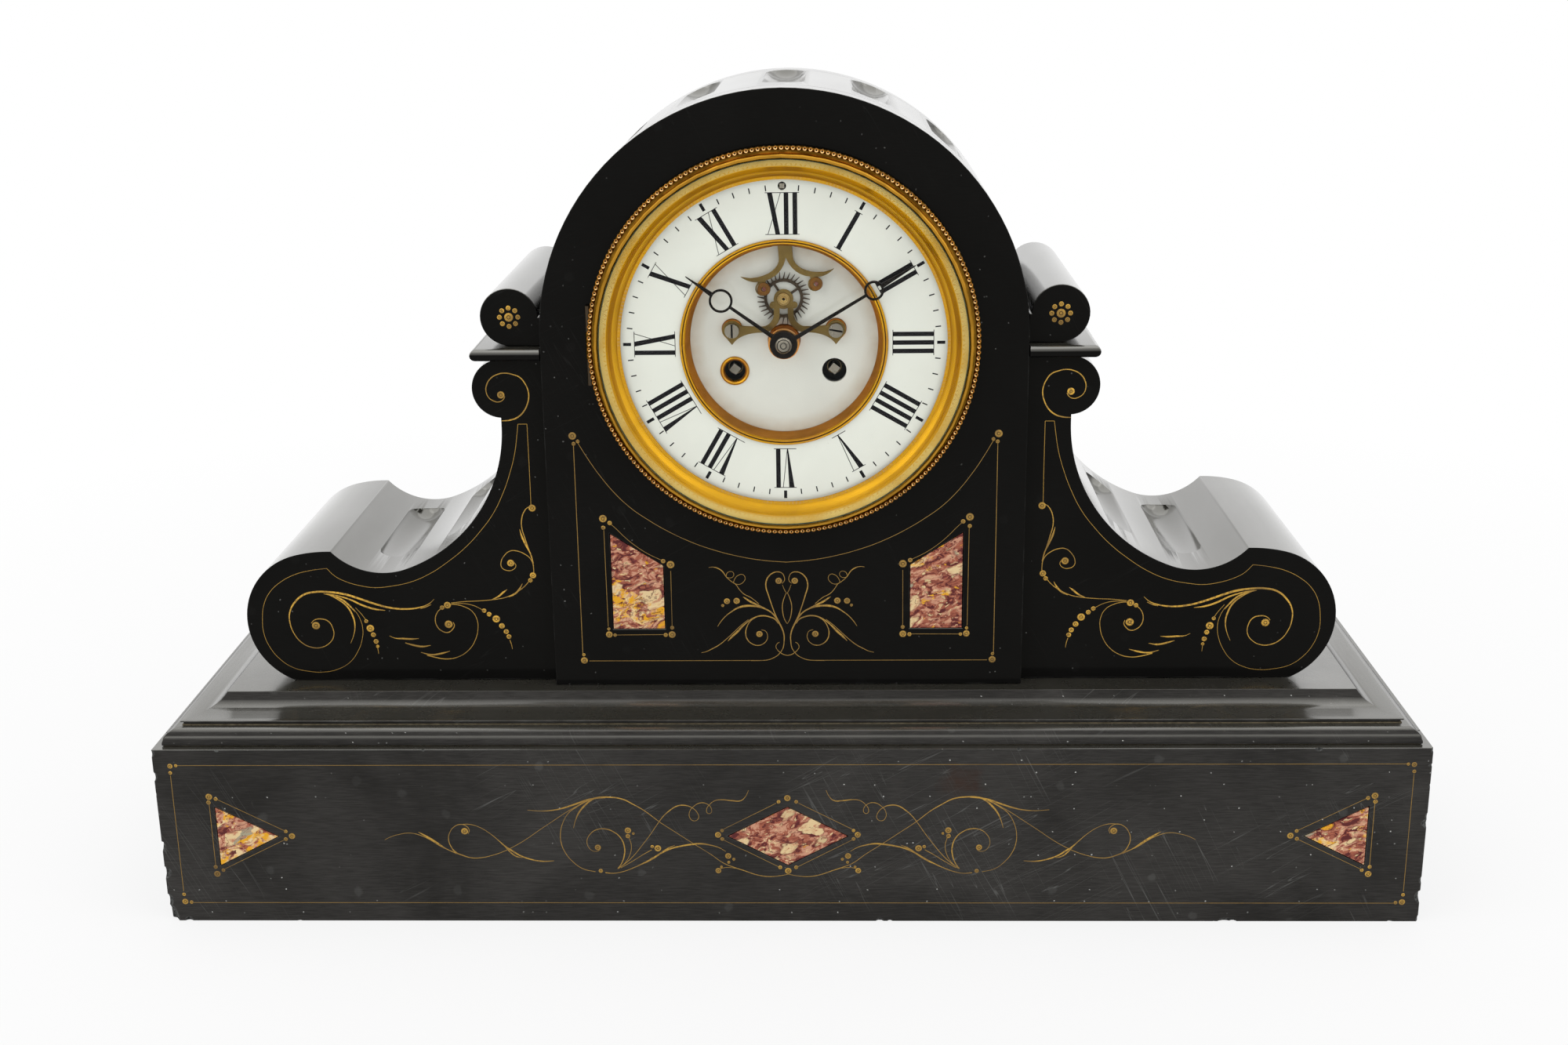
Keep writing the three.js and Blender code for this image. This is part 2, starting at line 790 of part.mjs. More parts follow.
function addDialPan() {
  const flangeFront = -seam - panMetal;
  const tubeInner = panTubeRadius - panMetal;
  const pan = turned([
    [panOuterRadius, flangeFront],
    [panOuterRadius, -seam],
    [panTubeRadius, -seam],
    [panTubeRadius, panTubeDepth],
    [tubeInner, panTubeDepth],
    [tubeInner, panFloorDepth + panMetal],
    [panFloorRadius, panFloorDepth + panMetal],
    [panFloorRadius, panFloorDepth],
    [tubeInner, panFloorDepth],
    [tubeInner, flangeFront],
  ], medium);
  const leafEnd = -(panTubeRadius + panOuterRadius) / 2;
  const knuckles = fixedKnuckles(hingeRadius, hingeX, hingeY, hingeLength, leafEnd, flangeFront, -seam);
  const hole = rod(regulatorHoleRadius, -overrun, panTubeDepth, 0, regulatorRise);
  const body = join(cut(pan, panHingeRoom()), ...knuckles, ...dialFeetRods(), ...fixingStraps());
  add(dial, "dial_pan", cut(body, hole), brass);
}

function dialFeetRods() {
  const feet = [];
  for (let i = 0; i < dialFeet; i++) {
    const [x, z] = polar([0, 0], dialFootCircle, ((i + 0.5) / dialFeet) * Math.PI * 2 + Math.PI);
    feet.push(rod(dialFootRadius, panFloorDepth + panMetal / 2, frontPlateDepth - seam, x, z));
  }
  return feet;
}

// The flat straps that run back from the pan, through the case, to the back ring.
function fixingStraps() {
  const outer = backHoleRadius - backRingMetal - 3 * seam;
  const half = strapWidth / 2;
  const inner = outer - strapThickness;
  const front = panFloorDepth + panMetal / 2;
  return [-1, 1].map((side) => block(side * inner, side * outer, front, drumDepth, -half, half));
}

function addChapterRing() {
  const back = chapterDepth + chapterThickness;
  const edge = chapterThickness / 4;
  const ring = turned([
    [chapterInnerRadius, back],
    [chapterOuterRadius, back],
    [chapterOuterRadius, chapterDepth + edge],
    [chapterOuterRadius - edge, chapterDepth],
    [chapterInnerRadius, chapterDepth],
  ]);
  const hole = rod(regulatorHoleRadius, -overrun, back + overrun, 0, regulatorRise);
  add(dial, "chapter_ring", cut(ring, hole), enamel);
}

// The gilt ring between the chapter ring and the sunk centre, notched for the anchor's stem.
function addCentreRing() {
  const lipBack = chapterDepth - seam;
  const lipFront = lipBack - lipHeight;
  const bend = lipHeight / 2;
  const ring = turned([
    [lipRadius, lipBack],
    [lipRadius, lipBack - bend],
    [lipRadius - bend, lipFront],
    [throatRadius - bend, lipFront],
    [throatRadius - panMetal, lipBack],
    [floorRadius, floorDepth - seam],
    [floorRadius + panMetal, floorDepth - seam],
    [throatRadius, lipBack + panMetal],
    [throatRadius + bend, lipBack],
  ]);
  const half = stemNotchWidth / 2;
  const notch = block(-half, half, stemNotchDepth, floorDepth, 0, lipRadius + overrun);
  add(dial, "centre_ring", cut(ring, notch), gilt);
}

function addCentreDial() {
  const back = floorDepth + floorDialThickness;
  const through = (radius, x, z) => rod(radius, floorDepth - overrun, back + overrun, x, z, medium);
  const disc = rod(floorDialRadius, floorDepth, back, 0, 0, fine);
  const holes = [
    through(windingHoleRadius, -windingSpread, -windingDrop),
    through(windingHoleRadius, windingSpread, -windingDrop),
    through(pipeRadius + seam, 0, 0),
    through(wheelArborRadius + seam, 0, wheelRise),
    through(cockFootRadius + seam, -cockFootSpread, wheelRise - cockFootDrop),
    through(cockFootRadius + seam, cockFootSpread, wheelRise - cockFootDrop),
  ];
  add(dial, "centre_dial", cut(disc, ...holes), enamel);

  const face = floorDepth - seam;
  const tube = windingHoleRadius - seam;
  const bush = turned(
    [
      [bushBoreRadius, face - bushFlangeHeight],
      [bushFlangeRadius - bushFlangeHeight, face - bushFlangeHeight],
      [bushFlangeRadius, face],
      [tube, face],
      [tube, face + bushLength],
      [bushBoreRadius, face + bushLength],
    ],
    medium,
  );
  add(dial, "left_winding_bush", bush.translate(-windingSpread, 0, -windingDrop), gilt);
}

function addBezel() {
  const back = -2 * seam - panMetal;
  const beadY = back - beadRadius;
  const throat = glassRadius + seam;
  const mouth = throat - bezelLip;
  const wall = throat + bezelWall;
  const lipBack = glassBevelDrop - glassThickness - glassSeatHeight - seam;
  const chamfer = bezelLip / 2;
  const section = [
    [throat, back],
    [bezelRadius, back],
    [bezelRadius, beadY],
  ];
  const steps = coarse / 4;
  for (let i = 1; i <= steps; i++) {
    const turn = (i / steps) * Math.PI;
    section.push([bezelRadius - beadRadius * (1 - Math.cos(turn)), beadY - beadRadius * Math.sin(turn)]);
  }
  section.push(
    [wall, beadY],
    [wall, chamfer - bezelHeight],
    [wall - chamfer, -bezelHeight],
    [mouth + chamfer, -bezelHeight],
    [mouth, lipBack - chamfer],
    [mouth, lipBack],
    [throat, lipBack],
  );
  const half = movingKnuckle(hingeRadius, hingeX, hingeY, hingeLength, -throat, beadY, back);
  const rim = cut(turned(section), ...rimHingeRooms());
  add(dial, "bezel_ring", cut(join(rim, half.knuckle, half.tongue), half.bore), gilt);

  const seat = -glassSeatHeight;
  const glass = turned([
    [0, seat],
    [glassRadius, seat],
    [glassRadius, seat - glassThickness + glassBevelDrop],
    [glassRadius - glassBevelWidth, seat - glassThickness],
    [0, seat - glassThickness],
  ]);
  add(dial, "bezel_glass", glass, crystal);
  addSlip(seat + seam, back);
}

// The gilt slip between the glass and the dial: a flat band, then a hollow down to the chapter ring.
function addSlip(top, back) {
  const hollowTop = top + slipBandDrop;
  const foot = -slipFoot;
  const bend = new THREE.QuadraticBezierCurve(
    new THREE.Vector2(slipBandRadius, hollowTop),
    new THREE.Vector2((slipBandRadius + slipInnerRadius) / 2, (hollowTop + foot) / 2 + slipHollow),
    new THREE.Vector2(slipInnerRadius, foot),
  );
  const skirt = glassRadius - slipMetal;
  add(dial, "sight_ring", turned([
    [glassRadius, top],
    ...bend.getPoints(coarse / 4).map((point) => [point.x, point.y]),
    [slipInnerRadius, foot + slipMetal / 2],
    [slipInnerRadius + slipMetal, foot + slipMetal / 2],
    [slipInnerRadius + 2 * slipMetal, foot - slipMetal],
    [slipBandRadius, hollowTop + slipMetal],
    [skirt, top + slipMetal],
    [skirt, back - seam],
    [glassRadius, back - seam],
  ]), gilt);
}

// The outline of a moon hand that points up: boss, stem, ring and tip, with both eyes open.
function handShape(boreRadius, ringReach, ringRadius, tipReach) {
  const away = (width, radius) => Math.asin(width / 2 / radius);
  const bossSide = away(stemRootWidth, handBossRadius);
  const ringLow = away(stemEndWidth, ringRadius);
  const ringHigh = away(tipRootWidth, ringRadius);
  const quarter = Math.PI / 2;
  const shape = new THREE.Shape();
  shape.absarc(0, 0, handBossRadius, quarter + bossSide, quarter - bossSide + Math.PI * 2);
  shape.absarc(0, ringReach, ringRadius, ringLow - quarter, quarter - ringHigh);
  shape.lineTo(tipEndWidth / 2, tipReach);
  shape.lineTo(-tipEndWidth / 2, tipReach);
  shape.absarc(0, ringReach, ringRadius, quarter + ringHigh, 3 * quarter - ringLow);
  shape.holes.push(new THREE.Path().absarc(0, 0, boreRadius, 0, Math.PI * 2));
  shape.holes.push(new THREE.Path().absarc(0, ringReach, ringRadius - ringWire, 0, Math.PI * 2));
  return shape;
}

function addHands() {
  const hourBore = cannonRadius + arborFit;
  const hourBack = -hourHandHeight;
  const hourShape = handShape(hourBore, hourRingReach, hourRingRadius, hourTipReach);
  const hour = plate(hourShape, hourBack - handThickness, hourBack);
  add(dial, "hour_hand", hour, blued).rotation.y = hourAngle;

  const minuteBore = centreArborRadius + arborFit;
  const minuteBack = -minuteHandHeight;
  const minuteFront = minuteBack - handThickness;
  const minuteShape = handShape(minuteBore, minuteRingReach, minuteRingRadius, minuteTipReach);
  const minute = plate(minuteShape, minuteFront, minuteBack);
  add(dial, "minute_hand", minute, blued).rotation.y = minuteAngle;

  const nutBack = minuteFront - seam;
  const nutFront = nutBack - nutHeight;
  const nut = turned(
    [
      [minuteBore, nutBack],
      [nutRadius, nutBack],
      [nutRadius, (nutBack + nutFront) / 2],
      [nutRadius * nutCrownShare, nutFront],
      [minuteBore, nutFront],
    ],
    coarse,
  );
  add(dial, "hand_nut", nut, steel);

  const shaft = rod(centreArborRadius, nutFront, plateBackDepth);
  const sleeve = rod(cannonRadius, minuteBack + seam, frontPlateDepth - seam);
  const pinion = gear(cannonTeeth, -1, minuteWheelDepth, 0);
  add(dial, "centre_arbor", join(shaft, sleeve, pinion), steel);
}

// A toothed wheel round the Y axis. A tooth or a gap is centred straight up or straight down.
function gear(teeth, side, y0, gap) {
  const pitch = (Math.PI * 2) / teeth;
  const pitchRadius = (toothModule * teeth) / 2;
  const tip = pitchRadius + toothModule * gearShares.addendum;
  const root = pitchRadius - toothModule * gearShares.dedendum;
  const corners = [];
  for (let i = 0; i < teeth; i++) {
    const turn = (i + gap / 2) * pitch + (side * Math.PI) / 2;
    corners.push(polar([0, 0], root, turn - (pitch * gearShares.root) / 2));
    corners.push(polar([0, 0], tip, turn - (pitch * gearShares.tip) / 2));
    corners.push(polar([0, 0], tip, turn + (pitch * gearShares.tip) / 2));
    corners.push(polar([0, 0], root, turn + (pitch * gearShares.root) / 2));
  }
  return plate(polygonShape(corners), y0, y0 + motionWheelThickness);
}

const motionDrop = (toothModule * (cannonTeeth + minuteWheelTeeth)) / 2;

function addMotionWork() {
  const hourBore = cannonRadius + arborFit;
  const hourBack = hourWheelDepth + motionWheelThickness;
  const pipe = rod(pipeRadius, seam - hourHandHeight, hourBack, 0, 0, medium);
  const bore = rod(hourBore, -overrun, hourBack + overrun);
  const hourWheel = gear(hourWheelTeeth, -1, hourWheelDepth, 1);
  add(dial, "hour_pipe", cut(join(pipe, hourWheel), bore), brass);

  const wheel = gear(minuteWheelTeeth, 1, minuteWheelDepth, 1);
  const leaves = gear(minutePinionTeeth, 1, hourWheelDepth, 0);
  const rootRadius = (toothModule * minutePinionTeeth) / 2 - toothModule * gearShares.dedendum;
  const body = rod(rootRadius, hourWheelDepth, minuteWheelDepth + motionWheelThickness);
  const eye = rod(motionStudRadius + arborFit, hourWheelDepth - overrun, frontPlateDepth);
  add(dial, "minute_wheel", cut(join(wheel, leaves, body), eye).translate(0, 0, -motionDrop), brass);
}

// A leaning, tapered tooth from the rim to the tip, turned to its place round the wheel.
function toothCorners(i) {
  const turn = (i / wheelTeeth) * Math.PI * 2;
  const root = toothRootWidth / 2 / wheelRimOuter;
  const tip = toothTipWidth / 2 / wheelTipRadius;
  return [
    polar([0, 0], wheelRimOuter, turn - root),
    polar([0, 0], wheelTipRadius, turn - toothLean - tip),
    polar([0, 0], wheelTipRadius, turn - toothLean + tip),
    polar([0, 0], wheelRimOuter, turn + root),
  ];
}

function addEscapeWheel() {
  const corners = [];
  for (let i = 0; i < wheelTeeth; i++) corners.push(...toothCorners(i));
  const outline = polygonShape(corners);
  outline.holes.push(new THREE.Path().absarc(0, 0, wheelRimInner, 0, Math.PI * 2));
  const back = wheelDepth + wheelThickness;
  const half = wheelSpokeWidth / 2;
  const reach = (wheelRimInner + wheelRimOuter) / 2;
  const spokes = [];
  for (let i = 0; i < wheelSpokes / 2; i++) {
    const spoke = block(-reach, reach, wheelDepth, back, -half, half);
    spokes.push(spoke.rotateY(-wheelSpokeTurn - (i * Math.PI * 2) / wheelSpokes));
  }
  const centre = rod(wheelCentreRadius, wheelDepth, back);
  const bore = rod(wheelArborRadius + pressFit, wheelDepth - overrun, back + overrun);
  const wheel = cut(join(plate(outline, wheelDepth, back), ...spokes, centre), bore);
  add(dial, "escape_wheel", wheel, steel).position.z = wheelRise;

  const arbor = rod(wheelArborRadius, cockDepth + seam, plateBackDepth);
  const hub = rod(hubRadius, wheelDepth - seam - hubThickness, wheelDepth - seam);
  add(dial, "escape_arbor", join(arbor, hub), brass).position.z = wheelRise;
}

// The anchor's outline below its pivot: two bars that part, sweep out and end in horns.
function anchorShape() {
  const half = stemWidth / 2;
  const [low, out, under] = armBendShares;
  const path = new THREE.Path();
  const bendDrop = splitDrop + (armTopDrop - splitDrop) * low;
  const inner = shoulderSpread - armUnderDrop + armTopDrop;
  const outer = half + (shoulderSpread - half) * out;
  path.moveTo(0, -splitDrop);
  path.bezierCurveTo(half * out, -bendDrop, shoulderSpread * under, -armUnderDrop, inner, -armUnderDrop);
  path.quadraticCurveTo((inner + hornSpread) / 2, -armUnderDrop, hornSpread, -hornDrop);
  path.quadraticCurveTo((inner + hornSpread) / 2, -armTopDrop, shoulderSpread, -armTopDrop);
  path.bezierCurveTo(outer, -armTopDrop, half, -bendDrop, half, -splitDrop);
  path.lineTo(half, 0);
  path.lineTo(0, 0);
  return bothSides(path);
}

function addPallets() {
  const anchor = new THREE.Group();
  anchor.position.z = wheelRise + anchorRise;
  anchor.rotation.y = anchorTilt;
  dial.add(anchor);
  const back = anchorDepth + anchorThickness;
  const front = anchorDepth - collarProud;
  const pieces = [plate(anchorShape(), anchorDepth, back, coarse / 2)];
  pieces.push(rod(anchorEyeRadius, anchorDepth, back));
  const bores = [rod(palletArborRadius + pressFit, front - overrun, back + overrun)];
  for (const side of [-1, 1]) {
    const x = side * stoneSpread;
    const half = neckWidth / 2;
    pieces.push(rod(collarRadius, front, back, x, -stoneDrop));
    pieces.push(block(x - half, x + half, anchorDepth, back, -stoneDrop, -armTopDrop - anchorThickness));
    bores.push(rod(stoneRadius + pressFit, front - overrun, back + overrun, x, -stoneDrop));
  }
  add(anchor, "pallet_anchor", cut(join(...pieces), ...bores), brass);
  for (const [side, name] of [
    [-1, "left_pallet_stone"],
    [1, "right_pallet_stone"],
  ]) {
    const stone = new THREE.Shape();
    const flat = Math.PI / 2 + side * stoneTurn;
    stone.absarc(side * stoneSpread, -stoneDrop, stoneRadius, flat - Math.PI, flat);
    add(anchor, name, plate(stone, front, wheelDepth - stoneGap), carnelian);
  }
}

// The pallets' arbor with the crutch, whose fork stands either side of the pendulum rod.
function addCrutch() {
  const front = plateBackDepth + 2 * seam;
  const back = front + crutchThickness;
  const half = crutchWidth / 2;
  const forkIn = rodRadius + forkGap;
  const forkOut = forkIn + forkWire;
  const forkBack = pendulumDepth + rodRadius + forkWire;
  const shaft = rod(palletArborRadius, anchorDepth, back);
  const eye = rod(half + palletArborRadius, front, back);
  const arm = block(-half, half, front, back, -crutchDrop, 0);
  const bridge = block(-forkOut, forkOut, front, back, -crutchDrop - forkWire, -crutchDrop + forkWire);
  const prongs = [-1, 1].map((side) =>
    block(side * forkIn, side * forkOut, front, forkBack, -crutchDrop - forkWire, -crutchDrop + forkWire),
  );
  const crutch = join(shaft, eye, arm, bridge, ...prongs);
  add(dial, "crutch_arbor", crutch, steel).position.z = wheelRise + anchorRise;
}

// The cock's lyre: an opening under the eye, arms that turn out to a bar, and pointed feet.
function cockShape() {
  const gap = cockGap / 2;
  const outer = gap + cockArmWidth;
  const top = cockArmWidth / 2 - cockBarDrop;
  const low = -cockArmWidth / 2 - cockBarDrop;
  const middle = (cockBarSpread + cockFootSpread) / 2;
  const path = new THREE.Path();
  path.moveTo(0, -cockGapDrop);
  path.lineTo(gap, -cockGapDrop);
  path.lineTo(gap, -cockBendDrop);
  path.bezierCurveTo(gap, (low - cockBendDrop) / 2, cockBarSpread / 2, low, cockBarSpread, low);
  path.quadraticCurveTo((middle + cockFootSpread) / 2, low, cockFootSpread, -cockHornDrop);
  path.absarc(cockFootSpread, -cockFootDrop, cockFootRadius, ...cockFootTurns);
  path.quadraticCurveTo(middle, top, cockBarSpread, top);
  path.bezierCurveTo((outer + cockBarSpread) / 2, top, outer, (top - cockBendDrop) / 2, outer, -cockBendDrop);
  path.lineTo(outer, -cockGapDrop / 2);
  path.lineTo(0, -cockGapDrop / 2);
  return bothSides(path);
}

function addCock() {
  const back = cockDepth + cockThickness;
  const pieces = [plate(cockShape(), cockDepth, back), rod(cockEyeRadius, cockDepth, back, 0, 0, medium)];
  const bores = [rod(wheelArborRadius + arborFit, cockDepth - overrun, back + overrun)];
  for (const side of [-1, 1]) {
    const x = side * cockFootSpread;
    pieces.push(rod(cockCurlRadius, cockDepth, back, side * cockCurlSpread, -cockCurlDrop));
    bores.push(rod(cockShankRadius + pressFit, cockDepth - overrun, back + overrun, x, -cockFootDrop));
  }
  add(dial, "escape_cock", cut(join(...pieces), ...bores), brass).position.z = wheelRise;
  const headBack = cockDepth - seam;
  const headFront = headBack - cockScrewHeight;
  for (const [side, name, turn] of [
    [-1, "left_cock_screw", leftSlotTurn],
    [1, "right_cock_screw", rightSlotTurn],
  ]) {
    const half = screwSlotWidth / 2;
    const length = cockScrewRadius + overrun;
    const slotFloor = headFront + screwSlotDepth;
    const slot = block(-length, length, headFront - overrun, slotFloor, -half, half).rotateY(turn);
    const shank = rod(cockShankRadius, headBack - pressFit, back + seam + cockShankLength);
    const screw = cut(join(rod(cockScrewRadius, headFront, headBack, 0, 0, medium), shank), slot);
    add(dial, name, screw.translate(side * cockFootSpread, 0, wheelRise - cockFootDrop), steel);
  }
}

function arborHoles(y0, y1) {
  const through = (radius, x, z) => rod(radius, y0 - overrun, y1 + overrun, x, z);
  return [
    through(arborRadius + arborFit, -windingSpread, -windingDrop),
    through(arborRadius + arborFit, windingSpread, -windingDrop),
    through(centreArborRadius + arborFit, 0, 0),
    through(wheelArborRadius + arborFit, 0, wheelRise),
    through(palletArborRadius + arborFit, 0, wheelRise + anchorRise),
  ];
}

// The front plate with the cock's two posts and the stud of the minute wheel.
function addFrontPlate() {
  const back = frontPlateDepth + plateThickness;
  const postFront = cockDepth + cockThickness + seam;
  const deep = frontPlateDepth + plateThickness / 2;
  const pieces = [rod(plateRadius, frontPlateDepth, back, 0, 0, medium)];
  pieces.push(rod(motionStudRadius, hourWheelDepth, deep, 0, -motionDrop));
  const bores = arborHoles(frontPlateDepth, back);
  for (const side of [-1, 1]) {
    const x = side * cockFootSpread;
    const z = wheelRise - cockFootDrop;
    const holeEnd = postFront + cockShankLength + overrun;
    pieces.push(rod(cockFootRadius, postFront, deep, x, z, medium));
    bores.push(rod(cockShankRadius + pressFit, postFront - overrun, holeEnd, x, z));
  }
  add(dial, "front_plate", cut(join(...pieces), ...bores), brass);
}

// The back plate with the pillars and the bell's stand.
function addBackPlate() {
  const deep = backPlateDepth + plateThickness / 2;
  const pieces = [rod(plateRadius, backPlateDepth, plateBackDepth, 0, 0, medium)];
  for (let i = 0; i < pillars; i++) {
    const [x, z] = polar([0, 0], pillarCircle, ((i + 0.5) / pillars) * Math.PI * 2);
    pieces.push(rod(pillarRadius, frontPlateDepth + plateThickness + seam, deep, x, z));
  }
  const barFront = bellDepth + bellHeight + seam;
  const barBack = barFront + bellPostRadius;
  const fall = bellPostDrop + bellRise;
  const reach = Math.hypot(bellPostSpread, fall);
  const bar = block(-bellPostRadius, bellPostRadius, barFront, barBack, 0, reach);
  pieces.push(bar.rotateY(Math.atan2(bellPostSpread, -fall)).translate(0, 0, bellRise));
  pieces.push(rod(bellPostRadius, deep, barBack, bellPostSpread, -bellPostDrop));
  pieces.push(rod(bellPostRadius, bellDepth + bellHeight / 2, barBack, 0, bellRise));
  const hole = rod(
    hammerArborRadius + arborFit,
    backPlateDepth - overrun,
    plateBackDepth + overrun,
    -hammerSpread,
    bellRise - hammerDrop,
  );
  add(dial, "back_plate", cut(join(...pieces), ...arborHoles(backPlateDepth, plateBackDepth), hole), brass);
}

function addBarrels() {
  const y0 = frontPlateDepth + plateThickness + barrelEndGap;
  const y1 = y0 + barrelLength;
  const bore = arborRadius + arborFit;
  const section = [
    [bore, y0],
    [barrelRadius, y0],
    [barrelRadius, y1 - greatWheelThickness],
    [greatWheelRadius, y1 - greatWheelThickness],
    [greatWheelRadius, y1],
    [bore, y1],
  ];
  for (const [side, barrel, arbor] of [
    [-1, "strike_barrel", "strike_winding_arbor"],
    [1, "going_barrel", "going_winding_arbor"],
  ]) {
    const x = side * windingSpread;
    add(dial, barrel, turned(section, medium).translate(x, 0, -windingDrop), brass);
    const half = squareSide / 2;
    const square = block(-half, half, squareDepth, frontPlateDepth, -half, half).rotateY(squareTurn);
    const shaft = rod(arborRadius, frontPlateDepth - seam, plateBackDepth);
    add(dial, arbor, join(square, shaft).translate(x, 0, -windingDrop), steel);
  }
}

function addRegulator() {
  const half = regulatorSquare / 2;
  const front = chapterDepth + seam;
  const back = front + regulatorSquareLength;
  const square = block(-half, half, front, back, -half, half);
  const shaft = rod(regulatorRadius, back - half, plateBackDepth + suspensionLength);
  add(dial, "regulator_arbor", join(square, shaft), steel).position.z = regulatorRise;
}

// The cock that straddles the crutch and holds the pendulum's spring between its chops.
function addSuspensionCock() {
  const y0 = plateBackDepth + seam;
  const y1 = y0 + suspensionLength;
  const half = suspensionWidth / 2;
  const pivot = wheelRise + anchorRise;
  const eye = crutchWidth / 2 + palletArborRadius + crutchRoom;
  const body = block(-half, half, y0, y1, suspensionFoot, suspensionTop);
  const room = block(-eye, eye, y0 - overrun, y1 + overrun, suspensionFoot - overrun, pivot + eye);
  const chopFront = plateBackDepth + 3 * seam + crutchThickness;
  const chopBack = pendulumDepth + chopEnd;
  const chop = block(-chopWidth / 2, chopWidth / 2, chopFront, chopBack, pivot + chopGap, suspensionTop);
  const gap = springThickness / 2 + seam;
  const slotTop = pivot + springHold + seam;
  const slot = block(-gap, gap, chopFront - overrun, chopBack + overrun, pivot - overrun, slotTop);
  const bore = rod(regulatorRadius + arborFit, y0 - overrun, chopBack + overrun, 0, regulatorRise);
  add(dial, "suspension_cock", cut(join(cut(body, room), chop), slot, bore), brass);
}

function addPendulum() {
  const swing = new THREE.Group();
  swing.position.set(0, pendulumDepth, wheelRise + anchorRise);
  dial.add(swing);
  const leaf = springThickness / 2;
  const wide = springWidth / 2;
  const bobFoot = -bobDrop - bobRadius;
  const nutTop = bobFoot - seam;
  const rodFoot = nutTop - ratingNutHeight - seam;
  const spring = block(-leaf, leaf, -wide, wide, -springLength, springHold);
  const hook = block(-rodRadius, rodRadius, -wide, wide, -springLength - hookWidth, -springLength + leaf);
  const stem = post(rodRadius, 0, 0, rodFoot, -springLength);
  add(swing, "pendulum_rod", join(spring, hook, stem), steel);

  const thick = bobThickness / 2;
  const edge = bobEdge / 2;
  const disc = turned([
    [0, thick],
    [bobRadius / 2, (3 * thick + edge) / 4],
    [bobRadius, edge],
    [bobRadius, -edge],
    [bobRadius / 2, -(3 * thick + edge) / 4],
    [0, -thick],
  ], medium).translate(0, 0, -bobDrop);
  const bore = post(rodRadius + arborFit, 0, 0, bobFoot - overrun, bobRadius - bobDrop + overrun);
  add(swing, "pendulum_bob", cut(disc, bore), brass);
  const nut = post(ratingNutRadius, 0, 0, nutTop - ratingNutHeight, nutTop);
  const nutBore = post(rodRadius + arborFit, 0, 0, rodFoot - overrun, nutTop + overrun);
  add(swing, "rating_nut", cut(nut, nutBore), brass);
}

function addBell() {
  const eye = bellPostRadius + arborFit;
  const outer = [];
  const inner = [];
  const steps = coarse / 4;
  for (let i = 0; i <= steps; i++) {
    const turn = ((i / steps) * Math.PI) / 2;
    const across = Math.cos(turn);
    const along = Math.sin(turn);
    outer.push([eye + (bellRadius - eye) * across, bellDepth + bellHeight * along]);
    inner.push([eye + (bellRadius - bellMetal - eye) * across, bellDepth + (bellHeight - bellMetal) * along]);
  }
  add(dial, "bell", turned([...outer, ...inner.reverse()], medium).translate(0, 0, bellRise), brass);
}

function addHammer() {
  const headY = bellDepth + bellMetal;
  const half = hammerArmWidth / 2;
  const reach = hammerDrop - hammerHeadRadius / 2;
  const headX = hammerSpread - bellRadius - hammerGap - hammerHeadRadius;
  const shaft = rod(hammerArborRadius, backPlateDepth + plateThickness / 2, headY + 2 * half);
  const arm = block(-half, half, headY - half, headY + half, 0, reach);
  const headBack = headY + hammerHeadLength / 2;
  const head = rod(hammerHeadRadius, headBack - hammerHeadLength, headBack, headX, hammerDrop);
  const hammer = join(shaft, arm, head);
  add(dial, "bell_hammer", hammer.translate(-hammerSpread, 0, bellRise - hammerDrop), steel);
}

function addBack() {
  const front = drumDepth + seam;
  const back = front + backRingMetal;
  const tube = backHoleRadius - seam;
  const tubeFront = drumDepth - backTubeDepth;
  const ring = turned([
    [tube - backRingMetal, back],
    [backRingOuter, back],
    [backRingOuter, front],
    [tube, front],
    [tube, tubeFront],
    [tube - backRingMetal, tubeFront],
  ], medium);
  const y = back + seam + backHingeRadius;
  const leaf = backHingeReach + backHingeRadius;
  const knuckles = fixedKnuckles(backHingeRadius, backHingeReach, y, backHingeLength, leaf, front, y);
  add(dial, "back_ring", join(ring, ...knuckles), brass);

  const face = back + seam;
  const dish = face + backDoorDish;
  const flat = backDoorRadius * backDoorFlatShare;
  const rise = backDoorRadius - backDoorRim;
  const door = turned([
    [0, dish - backDoorMetal],
    [flat, dish - backDoorMetal],
    [rise, face],
    [backDoorRadius, face],
    [backDoorRadius, face + backDoorMetal],
    [rise, face + backDoorMetal],
    [flat, dish],
    [backKnobNeck, dish],
    [backKnobNeck, dish + backKnobHeight / 2],
    [backKnobRadius, dish + backKnobHeight / 2],
    [backKnobRadius, dish + backKnobHeight],
    [0, dish + backKnobHeight],
  ], medium);
  const tongueEnd = backDoorRadius - backDoorRim / 2;
  const rim = face + backDoorMetal;
  const half = movingKnuckle(backHingeRadius, backHingeReach, y, backHingeLength, tongueEnd, face, rim);
  add(dial, "back_door", cut(join(door, half.knuckle, half.tongue), half.bore), brass);
}

addPlinth();
addMouldings();
addDrum();
addScrolls();
addInlays();
addDialPan();
addChapterRing();
addCentreRing();
addCentreDial();
addBezel();
addHands();
addMotionWork();
addEscapeWheel();
addPallets();
addCrutch();
addCock();
addFrontPlate();
addBackPlate();
addBarrels();
addRegulator();
addSuspensionCock();
addPendulum();
addBell();
addHammer();
addBack();

export default clock;
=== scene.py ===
"""Black slate mantel clock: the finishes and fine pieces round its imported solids.

Everything is in metres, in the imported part's own frame: +X to the right, +Y from the dial to the
back, +Z up. Depths are counted from the drum's face, and grow towards the back.
"""

